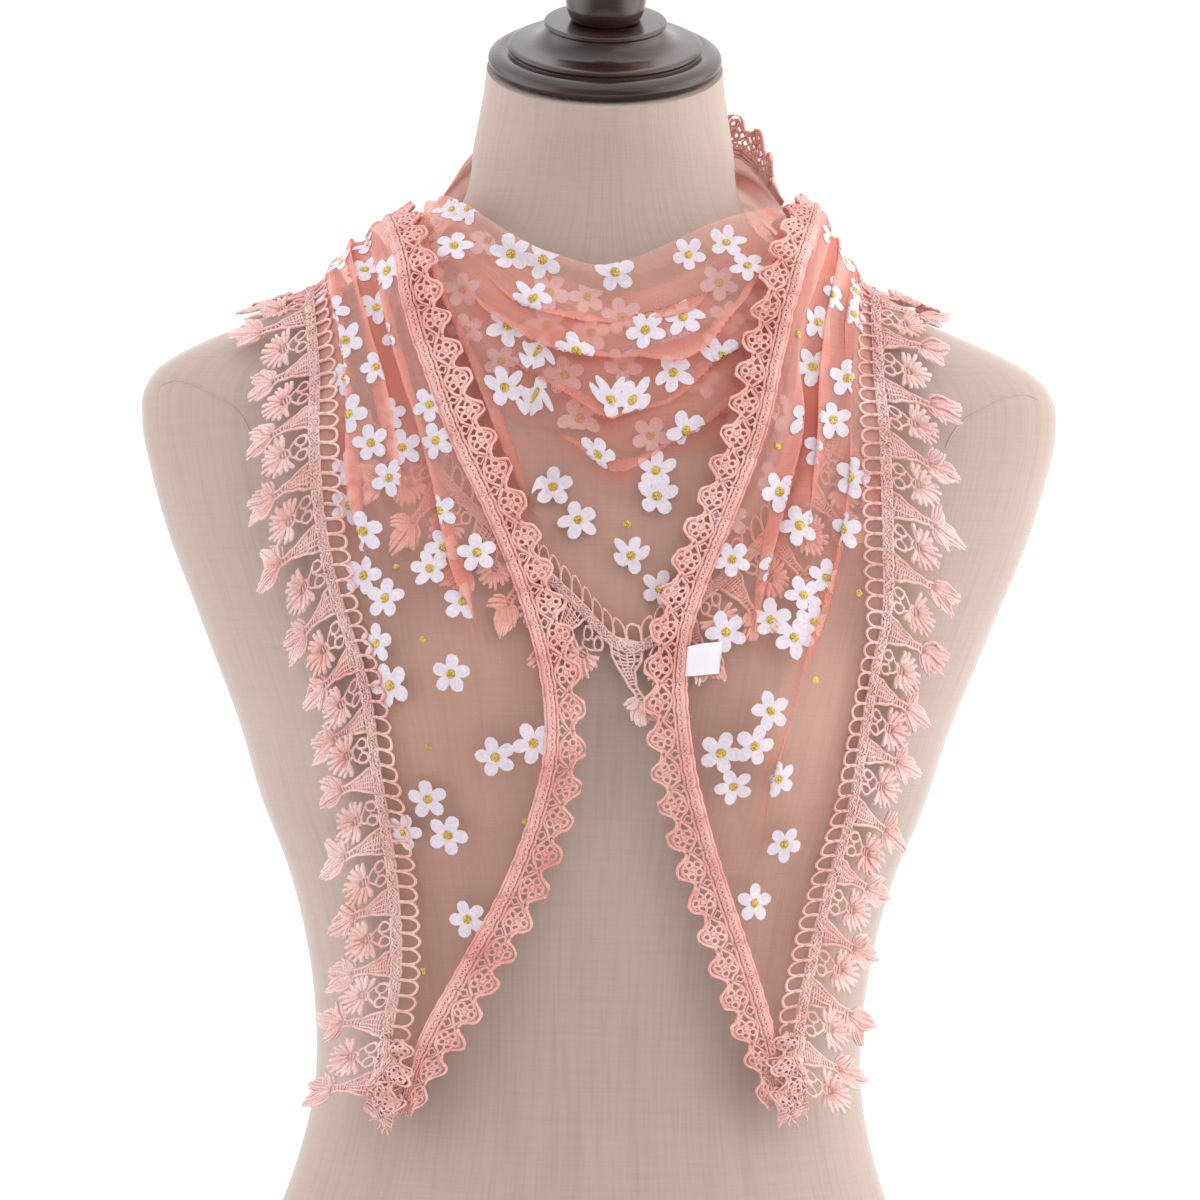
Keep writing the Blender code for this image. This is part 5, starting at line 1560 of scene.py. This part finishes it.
def build_sheet(name, sheets, mat, node):
    """One stretch of cloth. Its gather attribute says how many layers lie at a place."""
    mesh, uvs = Joined(), []
    for sheet in sheets:
        rows, columns = sheet.points.shape[:2]
        # The tint attribute gets each sheet's painted crease shade.
        mesh.add(sheet.points.reshape(-1, 3), grid_faces(rows, columns), sheet.depth.ravel())
        run = distances(sheet.points[:, columns // 2])[:, None] + 0 * sheet.share
        across = sheet.share * sheet.cloth.width[sheet.rows][:, None]
        uvs.append(np.stack([run, across], axis=-1).reshape(-1, 2))
    points, faces, crease_shades = mesh.flat()
    made = add_piece(name, points, faces, mat, (node,), colors=crease_shades,
                     uv=np.concatenate(uvs) * MM)
    zones = (BIB_GATHER if node == "voile_bib" else TAIL_GATHER, NECK_GATHER, TIP_GATHER)
    gathered = sum(gathers(zone, points[:, 2]) for zone in zones)
    behind = smooth_step((points[:, 1] - BACK_START[0]) / BACK_START[1])
    gathered = gathered + behind * gathers(BACK_GATHER, points[:, 2])
    made.data.attributes.new("gather", "FLOAT", "POINT").data.foreach_set("value", gathered)
    return made


# Fine rows. The right end lies under the left one up to its row BEHIND, and its laces start at the
# rows named here. The left end's last CROSSING rows lie under the right one and have no fringe.
BEHIND = 6 * PLACES
FRINGE_START = 4 * PLACES
EDGING_START = 3 * PLACES // 2
CROSSING = 3 * PLACES


def lay_cloths():
    """Lays the bib, then the left end over it and over the right end's start, then the right end over
    both. Returns the three cloths and the sheets of each stretch that shows."""
    guide = Guide()
    rows, _ = chain(RIGHT_NECK, BIB, LEFT_NECK)
    bib = Cloth(guide, rows, [(0, len(rows) - 1, BIB_FOLDS)], BIB_CREASES, 1.0)
    bib.measure()

    rows, starts = chain(LEFT_NECK, RIGHT_WRAP, RIGHT_SHOULDER, RIGHT_TAIL)
    stretches = [(0, starts[2], WRAP_FOLDS_RIGHT), (starts[2], len(rows) - 1, TAIL_FOLDS_RIGHT)]
    right = Cloth(guide, rows, stretches, RIGHT_CREASES, 2.0, starts[2])
    right.measure()

    rows, starts = chain(LEFT_TAIL, LEFT_SHOULDER, LEFT_WRAP, RIGHT_NECK)
    stretches = [(0, starts[1], TAIL_FOLDS_LEFT), (starts[1], len(rows) - 1, WRAP_FOLDS_LEFT)]
    left = Cloth(guide, rows, stretches, LEFT_CREASES, 3.0, starts[1])

    sheet, lip = bib.sheet(0, bib.end), bib.sheet(0, bib.end, lip=True)
    bib_trees = [(sheet.tree, SHEET_CLEARANCE),
                 (bib.zone_tree(2 * PLACES, bib.end - 2 * PLACES, "outer"), LACE_CLEARANCE)]
    left.raise_over(bib_trees + [(right.sheet(0, BEHIND).tree, SHEET_CLEARANCE),
                                 (right.zone_tree(0, BEHIND, "inner"), LACE_CLEARANCE),
                                 (right.zone_tree(FRINGE_START, BEHIND, "outer"), LACE_CLEARANCE)],
                    0, left.end - 2 * PLACES)
    left.puff(left.end - PLACES, left.end, LEFT_SWELL)
    left.measure()
    crossing = (left.end - CROSSING, left.end)
    right.raise_over(bib_trees + [(left.sheet(*crossing).tree, SHEET_CLEARANCE),
                                  (left.zone_tree(*crossing, "inner"), LACE_CLEARANCE)],
                     BEHIND, right.end + 1)
    right.puff(right.shoulder - PLACES, right.shoulder, RIGHT_SWELL)
    right.measure()
    return bib, right, left, {
        "bib": [sheet, lip],
        "tail_left": [left.sheet(0, left.shoulder)],
        "wrap_left": [left.sheet(left.shoulder, left.end)],
        "wrap_right": [right.sheet(0, right.shoulder)],
        "tail_right": [right.sheet(right.shoulder, right.end)],
    }


def sew_laces(bib, right, left, trims):
    """The edging on the long edge, the fringe on the two short ones, and the label."""
    yarn = lace_material("edging_yarn", srgb(228, 146, 136), srgb(254, 204, 194), srgb(253, 222, 215))
    edges = {
        "tail_left": EdgeMap(left, "inner", 0, left.shoulder),
        "wrap_left": EdgeMap(left, "inner", left.shoulder, left.end),
        "wrap_right": EdgeMap(right, "inner", EDGING_START, right.shoulder),
        "tail_right": EdgeMap(right, "inner", right.shoulder, right.end),
    }
    tips = {"tail_left": "first", "tail_right": "last"}
    for seed, (key, edge) in enumerate(edges.items(), 20):
        trims[key].append(lay_repeats("lace_edging_" + key, edge, EDGING_PITCH, edging_repeat,
                                      yarn, "edging_" + key, seed, tip=tips.get(key)))
    yarn = lace_material("fringe_yarn", srgb(230, 158, 149), srgb(252, 216, 207), srgb(250, 226, 224))
    fringes = {
        "tail_left": EdgeMap(left, "outer", 0, left.shoulder),
        "wrap_left": EdgeMap(left, "outer", left.shoulder, left.end - CROSSING),
        "bib": EdgeMap(bib, "outer", 2 * PLACES, bib.end - 2 * PLACES),
        "wrap_right": EdgeMap(right, "outer", FRINGE_START, right.shoulder),
        "tail_right": EdgeMap(right, "outer", right.shoulder, right.end),
    }
    for seed, (key, edge) in enumerate(fringes.items(), 40):
        trims[key].append(lay_repeats("lace_fringe_" + key, edge, REPEAT, fringe_repeat,
                                      yarn, "fringe_" + key, seed, DROOP, SAG))
    build_label(edges["tail_right"], LABEL_ALONG, label_material())


def print_flowers(sheets, trims):
    """Flowers and lone dots where the photograph shows them, and scattered where it shows none."""
    petal, gold = petal_material(), gold_material()
    prints = {key: Print("flowers_" + key, parts[0], seed)
              for seed, (key, parts) in enumerate(sheets.items(), 60)}
    for key, flowers, dots in SEEN:
        for x, y in flowers:
            prints[key].at_pixel(x, y)
        for x, y in dots:
            prints[key].at_pixel(x, y, only_dot=True)
    for key, which, start, end, low, high, spacing in SCATTERED:
        sheet = sheets[key][which]
        last = len(sheet.rows) - 1
        prints[key].scatter(sheet, (start * PLACES, min(end * PLACES, last)), (low, high), spacing)
    for key, made in prints.items():
        trims[key] += made.build(petal, gold)


CLEAR_BOUNCES = 24              # for light through many layers of the sheer cloth and its threads


def main():
    scene = bpy.context.scene
    build_camera()
    build_form(linen_material("linen_weave"))
    build_armhole_seams(linen_material("linen_seam"))
    build_cap(wood_material())

    bib, right, left, sheets = lay_cloths()
    voile = voile_material()
    cloths = {key: build_sheet("cloth_" + key, parts, voile, "voile_" + key)
              for key, parts in sheets.items()}
    trims = {key: [] for key in sheets}
    sew_laces(bib, right, left, trims)
    print_flowers(sheets, trims)

    build_stage()
    build_light()
    scene.view_settings.view_transform = "Standard"
    scene.view_settings.look = "None"
    scene.cycles.transparent_max_bounces = CLEAR_BOUNCES


FLOOR_RADIUS = 0.8
FLOOR_SIDES = 96
FLOOR_DROP = 0.0005


def build_stage():
    mesh = bpy.data.meshes.new("floor")
    angles = [2 * math.pi * k / FLOOR_SIDES for k in range(FLOOR_SIDES)]
    ring = [(FLOOR_RADIUS * math.cos(a), FLOOR_RADIUS * math.sin(a), -FLOOR_DROP) for a in angles]
    mesh.from_pydata(ring, [], [tuple(range(FLOOR_SIDES))])
    mesh.materials.append(floor_material())
    floor = bpy.data.objects.new("floor", mesh)
    bpy.context.scene.collection.objects.link(floor)


LAMP_PLACE = (0.9, -1.3, 1.3)
LAMP_AIM = (0.0, 0.0, 0.38)
LAMP_SIDE = 1.2
LAMP_ENERGY = 3.0


def build_light():
    """A white studio: brighter behind and at the sides, and one large soft lamp high at the front."""
    world = bpy.data.worlds.new("studio")
    world.use_nodes = True
    sky = Nodes(world.node_tree)
    generated = sky.node("ShaderNodeTexCoord").outputs["Generated"]
    way = sky.node("ShaderNodeSeparateXYZ", Vector=generated).outputs

    def soft(value, *limits):
        return sky.spread(value, *limits, kind="SMOOTHSTEP")

    tone = sky.ramp(soft(way["X"], -0.8, 0.8, 0.0, 1.0),
                    ((0.0, (0.965, 0.975, 1.0, 1.0)), (1.0, (1.0, 0.975, 0.95, 1.0))))
    behind = soft(way["Y"], -0.95, 0.35, 0.50, 1.08)
    rim = sky.math("MULTIPLY", soft(sky.math("ABSOLUTE", way["X"]), 0.55, 0.95, 0.0, 1.7),
                   soft(way["Y"], 0.15, 0.65, 1.0, 0.0))
    above = soft(way["Z"], 0.2, 0.95, 0.0, 0.6)
    total = sky.math("ADD", sky.math("ADD", behind, rim), above)
    side = soft(way["X"], -1.0, 1.0, 0.90, 1.12)
    background = sky.nodes["Background"].inputs
    sky.feed((background["Color"], tone), (background["Strength"], sky.math("MULTIPLY", total, side)))
    bpy.context.scene.world = world

    lamp = bpy.data.lights.new("soft_key", "AREA")
    lamp.shape = "RECTANGLE"
    lamp.size = lamp.size_y = LAMP_SIDE
    lamp.energy = LAMP_ENERGY
    made = bpy.data.objects.new("soft_key", lamp)
    made.location = LAMP_PLACE
    made.rotation_euler = (Vector(LAMP_AIM) - Vector(LAMP_PLACE)).to_track_quat("-Z", "Y").to_euler()
    bpy.context.scene.collection.objects.link(made)


main()
